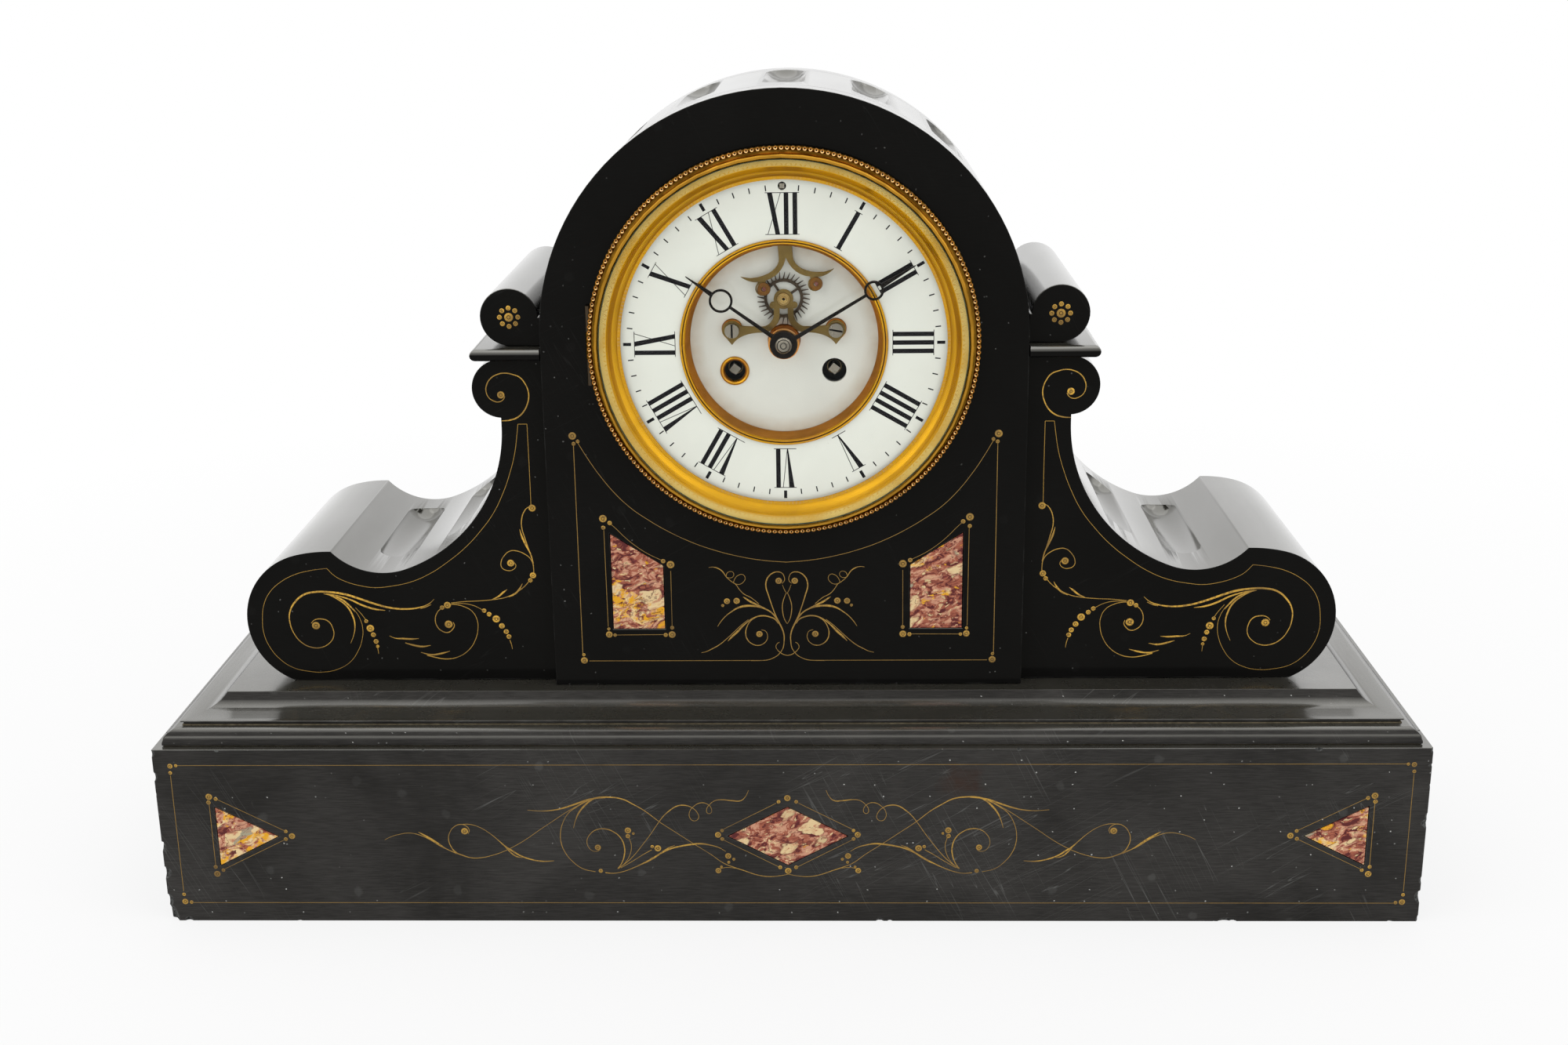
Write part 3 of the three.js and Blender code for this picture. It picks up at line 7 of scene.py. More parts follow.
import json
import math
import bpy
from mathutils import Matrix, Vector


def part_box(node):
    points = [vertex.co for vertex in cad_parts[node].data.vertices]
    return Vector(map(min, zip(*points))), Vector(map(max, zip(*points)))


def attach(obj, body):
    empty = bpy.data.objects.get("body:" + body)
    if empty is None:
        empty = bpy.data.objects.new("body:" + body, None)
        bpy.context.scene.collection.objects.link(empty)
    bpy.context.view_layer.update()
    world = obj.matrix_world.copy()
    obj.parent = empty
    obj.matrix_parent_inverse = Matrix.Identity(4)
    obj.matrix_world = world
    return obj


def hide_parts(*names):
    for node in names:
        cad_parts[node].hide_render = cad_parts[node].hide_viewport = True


bl_info = {
    "name": "Black Slate Mantel Clock",
    "version": (1, 1, 0),
    "blender": (4, 5, 0),
    "location": "3D View > Sidebar > Clock",
    "description": "Dresses a slate mantel clock with stone, gilding, print and metal",
    "category": "Object",
}

import bmesh
import bpy
from bpy.props import FloatProperty, FloatVectorProperty, IntProperty, PointerProperty
from mathutils import Matrix, Vector

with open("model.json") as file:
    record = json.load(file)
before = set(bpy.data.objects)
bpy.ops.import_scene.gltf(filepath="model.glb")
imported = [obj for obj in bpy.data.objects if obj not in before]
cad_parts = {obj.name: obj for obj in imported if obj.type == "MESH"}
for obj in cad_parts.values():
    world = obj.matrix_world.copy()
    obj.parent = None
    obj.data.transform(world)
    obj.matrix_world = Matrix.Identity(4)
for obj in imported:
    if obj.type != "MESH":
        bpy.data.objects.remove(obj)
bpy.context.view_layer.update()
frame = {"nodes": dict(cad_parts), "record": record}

MM = 0.001
FULL_TURN = 2 * math.pi
RECORD = frame["record"]
BODY_OF = {node: body for body, nodes in RECORD["behaviour"]["bodies"].items() for node in nodes}
SLOT_OF = {part["node"]: part["material_slot"] for part in RECORD["subparts"]}
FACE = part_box("drum_front_slab")[0].y
PLINTH_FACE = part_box("plinth_front_slab")[0].y
SCROLL_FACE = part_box("left_scroll")[0].y
CHAPTER_LOW, CHAPTER_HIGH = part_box("chapter_ring")
CENTRE = Vector((0, FACE, (CHAPTER_LOW.z + CHAPTER_HIGH.z) / 2))
DIAL_AXIS = (CENTRE.x, CENTRE.z)
# Edges sharper than these angles, in degrees, are kept and softened: wide, slate, fine pieces.
SMOOTH_ANGLE = 35
SLATE_ANGLE = 32
FINE_ANGLE = 30
# The camera that took the photo: its place, its angles, its lens and film width in millimetres,
# the photo's size in pixels, and the lens's length in pixels.
EYE = (0.0195, -0.7943, 0.3923)
PITCH = math.radians(16.96)
YAW = math.radians(1.555)
ROLL = math.radians(-0.72)
LENS = 44.05
FILM = 36
PHOTO = (2000, 1333)
FOCAL = LENS / FILM * PHOTO[0]


# The settings that a user may change.


def length(name, description, default):
    return FloatProperty(name=name, description=description, default=default, min=0, unit="LENGTH")


def colour(name, description, default):
    return FloatVectorProperty(
        name=name, description=description, default=default, min=0, max=1, size=3, subtype="COLOR"
    )


def share(name, description, default):
    return FloatProperty(
        name=name, description=description, default=default, min=0, max=1, subtype="FACTOR"
    )


def turn(name, description, default):
    return FloatProperty(name=name, description=description, default=default, subtype="ANGLE")


def count(name, description, default):
    return IntProperty(name=name, description=description, default=default, min=12)


class ClockStone(bpy.types.PropertyGroup):
    slate: colour("Slate", "Polished black of the slate", (0.0019, 0.0019, 0.0021))
    bloom: colour("Bloom", "Grey film on worn slate", (0.062, 0.059, 0.056))
    bare: colour("Bare Slate", "Grey where slate is chipped or scratched", (0.16, 0.162, 0.155))
    dust: colour("Dust", "Dust that settles on upper faces", (0.12, 0.112, 0.1))
    # Painted sheen: a pale colour laid on the faces that look up, standing in for the bright room
    # they reflect.
    sheen: colour("Sheen", "Light haze on the upper faces", (0.035, 0.033, 0.026))
    joint: colour("Joint", "Old plaster in the joints between the slabs", (0.24, 0.2, 0.13))
    rust: colour("Rust", "Brown stain on the plinth", (0.05, 0.016, 0.006))
    gloss: share("Slate Gloss", "Strength of the polish", 0.06)
    polished_wear: share("Polished Wear", "Wear of the drum and the scrolls", 0.07)
    plinth_wear: share("Plinth Wear", "Wear of the plinth and its mouldings", 1.0)
    soft_edge: length("Soft Edge", "Width of the slate's rounded edges", 0.35 * MM)
    plum: colour("Marble Plum", "Dark red veins between the fragments", (0.12, 0.022, 0.022))
    rose: colour("Marble Rose", "Rose ground of the marble", (0.4, 0.12, 0.07))
    pink: colour("Marble Pink", "Salmon pink of the ground", (0.66, 0.33, 0.21))
    cream: colour("Marble Cream", "Cream fragments", (0.84, 0.63, 0.34))
    amber: colour("Marble Amber", "Amber fragments", (0.86, 0.42, 0.02))
    ash: colour("Marble Ash", "Grey fragments", (0.42, 0.38, 0.26))
    fragment: length("Fragment Size", "Size of the marble's larger fragments", 8.0 * MM)


class ClockGilding(bpy.types.PropertyGroup):
    leaf: colour("Gold", "Gold in the cut lines", (0.74, 0.43, 0.06))
    # Also the colour of the painted shade on the low gold, and, darkened, of the painted shade in
    # the dots' rings.
    tarnish: colour("Worn Gold", "Gold where it has darkened", (0.16, 0.1, 0.042))
    flatness: share("Flatness", "Height of a line as a share of half its width", 0.22)
    dot_height: length("Dot Height", "Height of a dot over the slate", 0.16 * MM)


class ClockDial(bpy.types.PropertyGroup):
    enamel: colour("Enamel", "White of the chapter ring", (0.9, 0.93, 0.83))
    cream: colour("Centre", "White of the sunk centre", (0.84, 0.86, 0.77))
    # Both the brown of the painted shade round the centre's edge, by its wall, and the tint of the
    # dirt specks on both enamels.
    shade: colour("Centre Edge", "Brown dirt round the edge of the centre", (0.5, 0.41, 0.25))
    ink: colour("Ink", "Black of the numerals", (0.006, 0.006, 0.007))
    numeral_low: length("Numeral Foot", "Radius at the numerals' feet", 43.2 * MM)
    numeral_high: length("Numeral Head", "Radius at the numerals' heads", 59.4 * MM)
    stroke: length("Stroke", "Width of a thick stroke", 1.8 * MM)
    hairline: length("Hairline", "Width of a thin stroke", 0.25 * MM)
    print_height: length("Print Height", "Thickness of the printing", 0.04 * MM)


class ClockMetal(bpy.types.PropertyGroup):
    gilt: colour("Gilt", "Burnished gilt of the slip", (0.64, 0.335, 0.014))
    bronze: colour("Bronze Gilt", "Browned gilt of the bezel", (0.44, 0.22, 0.025))
    pale_gilt: colour("Pale Gilt", "Hatched gilt under the glass", (0.88, 0.65, 0.2))
    old_gilt: colour("Old Gilt", "Browned gilt of the beads", (0.8, 0.54, 0.24))
    copper: colour("Copper Gilt", "Reddish gilt of the small rings", (0.6, 0.27, 0.06))
    matte_copper: colour("Matte Copper", "Dull copper of the sunk wall", (0.5, 0.24, 0.05))
    verdigris: colour("Verdigris", "Green dirt round the glass", (0.1, 0.13, 0.085))
    brass: colour("Brass", "Aged brass of the movement", (0.38, 0.27, 0.1))
    olive: colour("Olive Brass", "Dull brass of the cock and the anchor", (0.19, 0.13, 0.04))
    brown: colour("Brown Brass", "Browned brass of the escape wheel", (0.06, 0.045, 0.03))
    steel: colour("Steel", "Polished steel", (0.27, 0.25, 0.2))
    blued: colour("Blued Steel", "Dark steel of the hands", (0.013, 0.0115, 0.01))
    # Painted shade: this black stands in for the dark inside holes, on the wells behind the winding
    # holes, the arbors in them, the screw slots, the nut's rings and the cock's pivot.
    black: colour("Black", "Blackened wells behind the winding holes", (0.003, 0.003, 0.003))
    stone: colour("Carnelian", "Red-brown of the pallet stones", (0.11, 0.02, 0.008))
    beads: count("Beads", "Beads round the bezel", 214)
    chevrons: count("Chevrons", "Small slanted bars in the chevron line", 240)
    milled: count("Milled Edge", "Small bars of the milled inner edge", 280)


class ClockStage(bpy.types.PropertyGroup):
    eye: FloatVectorProperty(
        name="Camera", description="Camera's place", default=EYE, subtype="TRANSLATION"
    )
    pitch: turn("Pitch", "How far the camera looks down", PITCH)
    yaw: turn("Yaw", "How far the camera turns to the left", YAW)
    roll: turn("Roll", "How far the camera leans", ROLL)
    lens: FloatProperty(name="Lens", description="Focal length in millimetres", default=LENS, min=10)
    daylight: FloatProperty(
        name="Daylight", description="Strength of the white room", default=0.62, min=0
    )
    lamps: FloatProperty(
        name="Lamps", description="Power of each soft lamp in watts", default=9, min=0
    )


SETTINGS = {
    "clock_stone": ClockStone,
    "clock_gilding": ClockGilding,
    "clock_dial": ClockDial,
    "clock_metal": ClockMetal,
    "clock_stage": ClockStage,
}


# Helpers that build shaders.


def fill(tree, socket, value):
    """Links a socket to another, or gives it a value. A colour may lack its fourth number."""
    if isinstance(value, bpy.types.NodeSocket):
        tree.links.new(value, socket)
    elif socket.type == "RGBA":
        socket.default_value = opaque(value)
    else:
        socket.default_value = value


def put(tree, kind, inputs=None, out=0, **settings):
    """Adds a shader node, fills its inputs with sockets or values, and gives one output."""
    node = tree.nodes.new("ShaderNode" + kind)
    for key, value in settings.items():
        setattr(node, key, value)
    for key, value in (inputs or {}).items():
        fill(tree, node.inputs[key], value)
    return node.outputs[out]


def noise(tree, place, scale, detail=4.0, distortion=0.0, out=0):
    inputs = {"Vector": place, "Scale": scale, "Detail": detail, "Distortion": distortion}
    return put(tree, "TexNoise", inputs, out)


def cells(tree, place, scale, out=1):
    """A pattern of cells: its distance as output 0, a colour of each cell's own as output 1."""
    return put(tree, "TexVoronoi", {"Vector": place, "Scale": scale}, out)


def flat_cells(tree, place, scale, out=1):
    """The same cells laid flat over every face that looks forwards, upwards or sideways."""
    apart = put(tree, "SeparateXYZ", {0: place}).node.outputs
    across = compute(tree, "ADD", apart[0], product(tree, apart[1], 0.7))
    laid = put(tree, "CombineXYZ", {0: across, 1: compute(tree, "ADD", apart[2], apart[1])})
    inputs = {"Vector": laid, "Scale": scale}
    return put(tree, "TexVoronoi", inputs, out, voronoi_dimensions="2D")


def spread(tree, value, low, high, to_low=0.0, to_high=1.0):
    """Stretches the range from low to high over the range from to_low to to_high."""
    ends = {"From Min": low, "From Max": high, "To Min": to_low, "To Max": to_high}
    return put(tree, "MapRange", {"Value": value, **ends})


def compute(tree, operation, one, two=0.0):
    return put(tree, "Math", {0: one, 1: two}, operation=operation)


def product(tree, first, *others):
    for other in others:
        first = compute(tree, "MULTIPLY", first, other)
    return first


def opaque(rgb):
    return (rgb[0], rgb[1], rgb[2], 1.0)


def shaded(rgb, part):
    """A colour made darker, or lighter where the part is over 1."""
    return tuple(min(1.0, value * part) for value in rgb)


def mixed(tree, factor, one, two):
    """One colour where the factor is 0, the other where it is 1."""
    return put(tree, "Mix", {0: factor, 6: one, 7: two}, 2, data_type="RGBA")


def banded(tree, value, stops):
    """Plain colours, each from its own value on, given as (value, colour) pairs."""
    output = put(tree, "ValToRGB", {0: value})
    ramp = output.node.color_ramp
    ramp.interpolation = "CONSTANT"
    ramp.elements.remove(ramp.elements[1])
    ramp.elements[0].color = opaque(stops[0][1])
    for position, rgb in stops[1:]:
        ramp.elements.new(position).color = opaque(rgb)
    return output


def stretched(tree, place, scale):
    return put(tree, "Mapping", {"Vector": place, "Scale": scale})


def warped(tree, place, scale, reach):
    """Shifts each point a little way, so that a pattern laid on it runs crooked."""
    cloud = noise(tree, place, scale, 4, out=1)
    shift = put(tree, "VectorMath", {0: cloud, 1: (0.5, 0.5, 0.5)}, operation="SUBTRACT")
    shift = put(tree, "VectorMath", {0: shift, 3: reach}, operation="SCALE")
    return put(tree, "VectorMath", {0: place, 1: shift}, operation="ADD")


def centred_place(tree, place, axis):
    """The place counted from an axis along Y, given as its (x, z), without its depth."""
    centred = put(tree, "VectorMath", {0: place, 1: (axis[0], 0, axis[1])}, operation="SUBTRACT")
    return put(tree, "VectorMath", {0: centred, 1: (1, 0, 1)}, operation="MULTIPLY")


def radius_of(tree, place, axis):
    flat = centred_place(tree, place, axis)
    return put(tree, "VectorMath", {0: flat}, 1, operation="LENGTH")


def surface_of(name, **values):
    """A new material: itself, its tree, its surface node and the piece's own coordinates."""
    material = bpy.data.materials.new(name)
    material.use_nodes = True
    tree = material.node_tree
    surface = tree.nodes["Principled BSDF"]
    feed(tree, surface, **values)
    return material, tree, surface, put(tree, "TexCoord", out=3)


def feed(tree, node, **inputs):
    """Fills a node's inputs, whose names are given with underscores for their spaces."""
    for key, value in inputs.items():
        fill(tree, node.inputs[key.replace("_", " ")], value)


def bumped(tree, height, strength, distance):
    inputs = {"Strength": strength, "Distance": distance, "Height": height}
    return put(tree, "Bump", inputs)


# How fine the stone's patterns are: waves or cells in a metre, or along X, Y and Z.
SMUDGES = 17
RUBBED_LINES = (150, 150, 2600)
SCRATCHES = (9, 5, 320)
DROPS = 52
NICKS = 190
CLOUDS = (30, 8, 30)
DUST_GRAINS = 1500
STONE_GRAINS = 900
RIPPLES = 150
WORN_PATCHES = 90
# How the marble is broken up, in the same way.
MARBLE_SWIRLS = 120
MARBLE_CRUMBS = 700
MARBLE_GROUND = 330
MARBLE_CRACKS = 150
# How the metal is patched, spotted and turned.
TARNISH_PATCHES = 70
TARNISH_SPOTS = 1400
TURNED_LINES = 5200
HATCHES = 620
# How far a slate face must look up before its painted sheen starts, and where it is full.
WORN_SHINE = (0.78, 0.97)
POLISHED_SHINE = (0.1, 0.6)
# The middle of the brown stain on the plinth, and its reach.
RUST_SPOT = (0.071, PLINTH_FACE, 0.064)
RUST_REACH = 10 * MM
# Where the centre dial's brown edge of painted shade ends.
CENTRE_EDGE = 38.5 * MM


# The materials.


def scratches(tree, place, tilt, patch_scale):
    """Fine straight scratches that lean one way and come and go."""
    leaned = put(tree, "VectorRotate", {"Vector": place, "Axis": (0, 1, 0), "Angle": tilt})
    lines = noise(tree, stretched(tree, leaned, SCRATCHES), 1, 1)
    ridge = compute(tree, "ABSOLUTE", compute(tree, "SUBTRACT", lines, 0.5))
    ridge = spread(tree, ridge, 0.006, 0.001)
    patch = spread(tree, noise(tree, place, patch_scale, 2), 0.54, 0.62)
    return product(tree, ridge, patch)


def water_spots(tree, place):
    """Pale round spots of a few millimetres, where drops have dried."""
    bent = warped(tree, place, 300, 2.0 * MM)
    near = flat_cells(tree, bent, DROPS, 0)
    picked = put(tree, "SeparateColor", {0: flat_cells(tree, bent, DROPS)})
    chosen = compute(tree, "GREATER_THAN", picked, 0.8)
    return product(tree, spread(tree, near, 0.12, 0.07), chosen)


def specks(tree, place):
    """Small bright nicks and grains."""
    bent = warped(tree, place, 900, 0.7 * MM)
    near = flat_cells(tree, bent, NICKS, 0)
    picked = put(tree, "SeparateColor", {0: flat_cells(tree, bent, NICKS)}, 1)
    chosen = spread(tree, picked, 0.86, 1.0)
    grain = spread(tree, near, 0.07, 0.03)
    patch = spread(tree, noise(tree, place, 9, 3), 0.42, 0.55)
    return product(tree, grain, chosen, patch)


def stain(tree, place, spot, reach):
    """A ragged spot round one point."""
    bent = warped(tree, place, 160, 14 * MM)
    away = put(tree, "VectorMath", {0: bent, 1: spot}, 1, operation="DISTANCE")
    return product(tree, spread(tree, away, reach, 0), noise(tree, place, 240, 5))


def slate_material(stone, name, wear, lit):
    """Polished black stone that greys, scratches and gathers dust the more it is worn, and gets a
    painted sheen where it looks up.

    Lit gives how far a face must look up before its painted sheen starts, and where it is full.
    """
    material, tree, surface, place = surface_of(
        name, Specular_Tint=(1.0, 0.97, 0.84), Coat_Roughness=0.15, Coat_IOR=1.9
    )
    smudge = spread(tree, noise(tree, place, SMUDGES, 8, 0.9), 0.3, 0.66, 0.5, 1.0)
    rubbed = noise(tree, stretched(tree, place, RUBBED_LINES), 1, 3)
    film = product(tree, smudge, spread(tree, rubbed, 0.3, 0.7, 0.55, 0.9), wear)
    tint = mixed(tree, film, stone.slate, stone.bloom)

    spots = product(tree, water_spots(tree, place), spread(tree, smudge, 0.5, 1, 0.05, 0.22), wear)
    tint = mixed(tree, spots, tint, stone.bare)
    rising = scratches(tree, place, 0.5, 13)
    lines = compute(tree, "MAXIMUM", rising, scratches(tree, place, -1.1, 17))
    tint = mixed(tree, product(tree, lines, 0.5 * wear), tint, stone.bare)
    flecks = product(tree, specks(tree, place), 0.2 + 0.8 * wear)
    tint = mixed(tree, flecks, tint, shaded(stone.bare, 3.6))
    brown = stain(tree, place, RUST_SPOT, RUST_REACH)
    tint = mixed(tree, brown, tint, stone.rust)

    # Painted sheen and highlight: faces that look up are lightened with the sheen colour and get
    # more gloss and coat, and a narrow painted highlight lights faces that look half up.
    normal = put(tree, "NewGeometry", out=1)
    upward = put(tree, "SeparateXYZ", {0: normal}, 2)
    painted_highlight = product(tree, spread(tree, upward, 0.36, 0.47), spread(tree, upward, 0.6, 0.5))
    sheen_mask = compute(tree, "MAXIMUM", spread(tree, upward, *lit), product(tree, painted_highlight, 0.55))
    cloudy = noise(tree, stretched(tree, place, CLOUDS), 1, 6)
    cloudy = spread(tree, cloudy, 0.3, 0.7, 0.7, 1.0)
    tint = mixed(tree, product(tree, sheen_mask, cloudy), tint, stone.sheen)
    grains = spread(tree, noise(tree, place, DUST_GRAINS, 3), 0.63, 0.7, 0.0, 0.6)
    settled = product(tree, spread(tree, upward, 0.6, 0.98), grains)
    tint = mixed(tree, settled, tint, stone.dust)

    rounded = put(tree, "Bevel", {"Radius": 0.7 * MM}, samples=4)
    facing = put(tree, "VectorMath", {0: rounded, 1: normal}, 1, operation="DOT_PRODUCT")
    ragged = spread(tree, noise(tree, place, WORN_PATCHES, 6), 0.46, 0.64, 0.08, 0.6)
    edge = spread(tree, facing, 0.985, 0.88)
    worn_edge = product(tree, edge, ragged, 0.35 + 0.65 * wear)
    tint = mixed(tree, worn_edge, tint, stone.bare)

    rough = spread(tree, film, 0, 1, 0.13, 0.4)
    rough = compute(tree, "ADD", rough, product(tree, worn_edge, 0.4))
    rough = compute(tree, "MAXIMUM", rough, product(tree, sheen_mask, 0.18))
    wavy = bumped(tree, noise(tree, place, RIPPLES, 7), 0.2, 0.04 * MM)
    gloss = spread(tree, sheen_mask, 0, 1, stone.gloss, 1.0)
    feed(tree, surface, Base_Color=tint, Roughness=rough, Normal=wavy, Specular_IOR_Level=gloss)
    feed(tree, surface, Coat_Weight=product(tree, sheen_mask, cloudy))
    return material


def bare_slate_material(stone):
    """Rough grey stone inside the chips."""
    material, tree, surface, place = surface_of(
        "bare_slate", Roughness=0.85, Specular_IOR_Level=0.2
    )
    grain = noise(tree, place, STONE_GRAINS, 6)
    mottled = spread(tree, grain, 0.35, 0.7)
    tint = mixed(tree, mottled, shaded(stone.bare, 0.12), shaded(stone.bare, 0.75))
    feed(tree, surface, Base_Color=tint, Normal=bumped(tree, grain, 0.8, 0.2 * MM))
    return material


def lumps(tree, place, scale, grown, share_chosen, colours):
    """Scattered fragments: how much each place is in one, how near its rim, and its colour."""
    near = cells(tree, place, scale, 0)
    own = put(tree, "SeparateColor", {0: cells(tree, place, scale)})
    other = put(tree, "SeparateColor", {0: cells(tree, place, scale)}, 1)
    chosen = compute(tree, "LESS_THAN", own, share_chosen)
    inside = product(tree, spread(tree, near, grown + 0.03, grown - 0.03), chosen)
    rim = product(tree, spread(tree, near, grown + 0.11, grown + 0.02), chosen)
    return inside, rim, banded(tree, other, colours)


def amber_streaks(tree, place, crooked):
    """Where the marble turns amber: more in the outer pieces than in the middle one."""
    aside = compute(tree, "ABSOLUTE", put(tree, "SeparateXYZ", {0: place}))
    start = spread(tree, aside, 40 * MM, 60 * MM, 0.66, 0.525)
    streaks = compute(tree, "SUBTRACT", noise(tree, crooked, 62, 2), start)
    crumbled = spread(tree, noise(tree, crooked, 420, 6), 0.46, 0.52)
    return product(tree, spread(tree, streaks, 0, 0.012), crumbled)


def marble_material(stone):
    """Amber, cream and grey fragments swirled in a fine rose and dark red ground."""
    material, tree, surface, place = surface_of(
        "broken_marble", Roughness=0.14, Specular_IOR_Level=0.15
    )
    leaned = put(tree, "VectorRotate", {"Vector": place, "Axis": (0, 1, 0), "Angle": 0.35})
    flattened = stretched(tree, leaned, (0.7, 1, 1.3))
    swirled = warped(tree, flattened, MARBLE_SWIRLS, 10 * MM)
    crooked = warped(tree, swirled, MARBLE_CRUMBS, 2.2 * MM)
    ground = noise(tree, crooked, MARBLE_GROUND, 9, 0.6)
    tint = mixed(tree, spread(tree, ground, 0.4, 0.47), stone.plum, stone.rose)
    tint = mixed(tree, spread(tree, ground, 0.51, 0.56), tint, stone.pink)
    tint = mixed(tree, spread(tree, ground, 0.62, 0.68), tint, stone.cream)
    fine = (
        (0.0, stone.cream),
        (0.3, stone.rose),
        (0.45, stone.pink),
        (0.62, shaded(stone.plum, 1.6)),
        (0.74, stone.amber),
        (0.84, shaded(stone.cream, 0.8)),
    )
    coarse = (
        (0.0, stone.cream),
        (0.45, shaded(stone.cream, 0.85)),
        (0.6, stone.amber),
        (0.74, stone.pink),
        (0.84, stone.ash),
    )
    scale = 1 / stone.fragment
    for place_used, part, grown, chosen, colours in (
        (crooked, 4.6, 0.36, 0.5, fine),
        (swirled, 1.0, 0.42, 0.6, coarse),
    ):
        inside, rim, own = lumps(tree, place_used, part * scale, grown, chosen, colours)
        mottled = spread(tree, noise(tree, crooked, 600, 6), 0.5, 0.66, 0.0, 0.8)
        own = mixed(tree, mottled, own, shaded(stone.rose, 1.3))
        tint = mixed(tree, product(tree, rim, 0.5), tint, stone.plum)
        tint = mixed(tree, inside, tint, own)
    pale = spread(tree, noise(tree, crooked, 260, 3), 0.45, 0.6)
    amber = mixed(tree, pale, stone.amber, shaded(stone.cream, 1.05))
    tint = mixed(tree, amber_streaks(tree, place, crooked), tint, amber)
    cracks = compute(tree, "SUBTRACT", noise(tree, crooked, MARBLE_CRACKS, 5), 0.5)
    cracks = spread(tree, compute(tree, "ABSOLUTE", cracks), 0.014, 0.004, 0.0, 0.8)
    tint = mixed(tree, cracks, tint, stone.plum)
    feed(tree, surface, Base_Color=tint)
    return material


def leaf_material(gilding, name, face, dim):
    """Gold in the cut lines of one face, browned where worn, and darkened as painted shade on thin
    strokes and along each stroke's low edges.

    Dim is how far the brightest gold is browned.
    """
    material, tree, surface, place = surface_of(name, Metallic=0.7)
    depth = put(tree, "SeparateXYZ", {0: place}, 1)
    height = compute(tree, "SUBTRACT", face, depth)
    # Painted shade: gold that stands low over the slate, on thin strokes and at each stroke's edges,
    # is browned as if in the shade of its cut.
    thin = spread(tree, height, 0.07 * MM, 0.015 * MM, 0.0, 0.6)
    worn = spread(tree, noise(tree, place, 60, 7, 0.4), 0.4, 0.66)
    speckled = spread(tree, noise(tree, place, 850, 4), 0.47, 0.6, 0.0, 0.7)
    dull = compute(tree, "MAXIMUM", product(tree, worn, 0.8), speckled)
    dull = spread(tree, compute(tree, "MAXIMUM", dull, thin), 0, 1, dim, 1.0)
    tint = mixed(tree, dull, gilding.leaf, gilding.tarnish)
    rough = spread(tree, worn, 0, 1, 0.35, 0.6)
    wavy = bumped(tree, noise(tree, place, 1800, 3), 0.5, 0.08 * MM)
    feed(tree, surface, Base_Color=tint, Roughness=rough, Normal=wavy)
    return material


def metal_material(
    name, tint, dark, rough, tarnish, grain=(400, 400, 400), axis=None, browned=None
):
    """Aged metal with patches of tarnish and a fine grain, turned round an axis or along one way.

    Browned gives two radii between which the metal darkens outwards.
    """
    edge = shaded(tint, 1 / max(tint))
    material, tree, surface, place = surface_of(name, Metallic=1.0, Specular_Tint=edge)
    patch = spread(tree, noise(tree, place, TARNISH_PATCHES, 8, 0.5), 0.45, 0.75, 0.0, tarnish)
    spots = spread(tree, noise(tree, place, TARNISH_SPOTS, 3), 0.64, 0.72, 0.0, tarnish)
    dull = compute(tree, "MAXIMUM", patch, spots)
    base = mixed(tree, dull, tint, dark)
    if browned:
        ragged = warped(tree, place, 220, 2.5 * MM)
        outer = spread(tree, radius_of(tree, ragged, axis), *browned)
        base = mixed(tree, outer, base, dark)
    if axis:
        rings = put(tree, "CombineXYZ", {0: radius_of(tree, place, axis)})
        lines = noise(tree, rings, TURNED_LINES, 2)
    else:
        lines = noise(tree, stretched(tree, place, grain), 1, 3)
    polish = spread(tree, lines, 0.3, 0.7, rough * 0.8, rough * 1.25)
    roughness = compute(tree, "ADD", polish, product(tree, patch, 0.4))
    wavy = bumped(tree, lines, 0.5, 0.02 * MM)
    feed(tree, surface, Base_Color=base, Roughness=roughness, Normal=wavy)
    return material


def hatched_material(metal):
    """Pale gilt that a fine tool has hatched all round."""
    material, tree, surface, place = surface_of("hatched_gilt", Metallic=0.85, Roughness=0.45)
    flat = centred_place(tree, place, DIAL_AXIS)
    along = put(tree, "SeparateXYZ", {0: flat})
    up = put(tree, "SeparateXYZ", {0: flat}, 2)
    angle = compute(tree, "ARCTAN2", along, up)
    hatch = compute(tree, "SINE", product(tree, angle, HATCHES))
    radius = radius_of(tree, place, DIAL_AXIS)
    rings = compute(tree, "SINE", product(tree, radius, TURNED_LINES))
    woven = spread(tree, product(tree, hatch, rings), -1, 1)
    patch = spread(tree, noise(tree, place, 60, 6, 0.4), 0.4, 0.7, 0.0, 0.7)
    pale = mixed(tree, woven, shaded(metal.pale_gilt, 0.72), metal.pale_gilt)
    tint = mixed(tree, patch, pale, metal.gilt)
    wavy = bumped(tree, woven, 0.7, 0.1 * MM)
    feed(tree, surface, Base_Color=tint, Normal=wavy)
    return material


def enamel_material(name, tint, aged, age, edge=0.0):
    """White enamel with faint clouds and specks of dirt, and painted shade that browns it towards an
    edge radius if one is given.
    """
    material, tree, surface, place = surface_of(name, Roughness=0.12, Specular_IOR_Level=0.5)
    cloud = spread(tree, noise(tree, place, 45, 5, 0.4), 0.4, 0.8, 0.0, age)
    base = mixed(tree, cloud, tint, shaded(tint, 0.84))
    if edge:
        # Painted shade: the enamel browns towards the edge radius, where the sunk centre meets its
        # wall.
        radius = radius_of(tree, place, DIAL_AXIS)
        ragged = spread(tree, noise(tree, place, 130, 5), 0.3, 0.7, 0.35, 1.0)
        rim = product(tree, spread(tree, radius, edge - 7 * MM, edge, 0.0, 0.75), ragged)
        base = mixed(tree, rim, base, aged)
    dirt = spread(tree, noise(tree, place, 1300, 2), 0.76, 0.79, 0.0, 0.5)
    base = mixed(tree, dirt, base, aged)
    wavy = bumped(tree, noise(tree, place, 160, 3), 0.12, 0.05 * MM)
    feed(tree, surface, Base_Color=base, Normal=wavy)
    return material


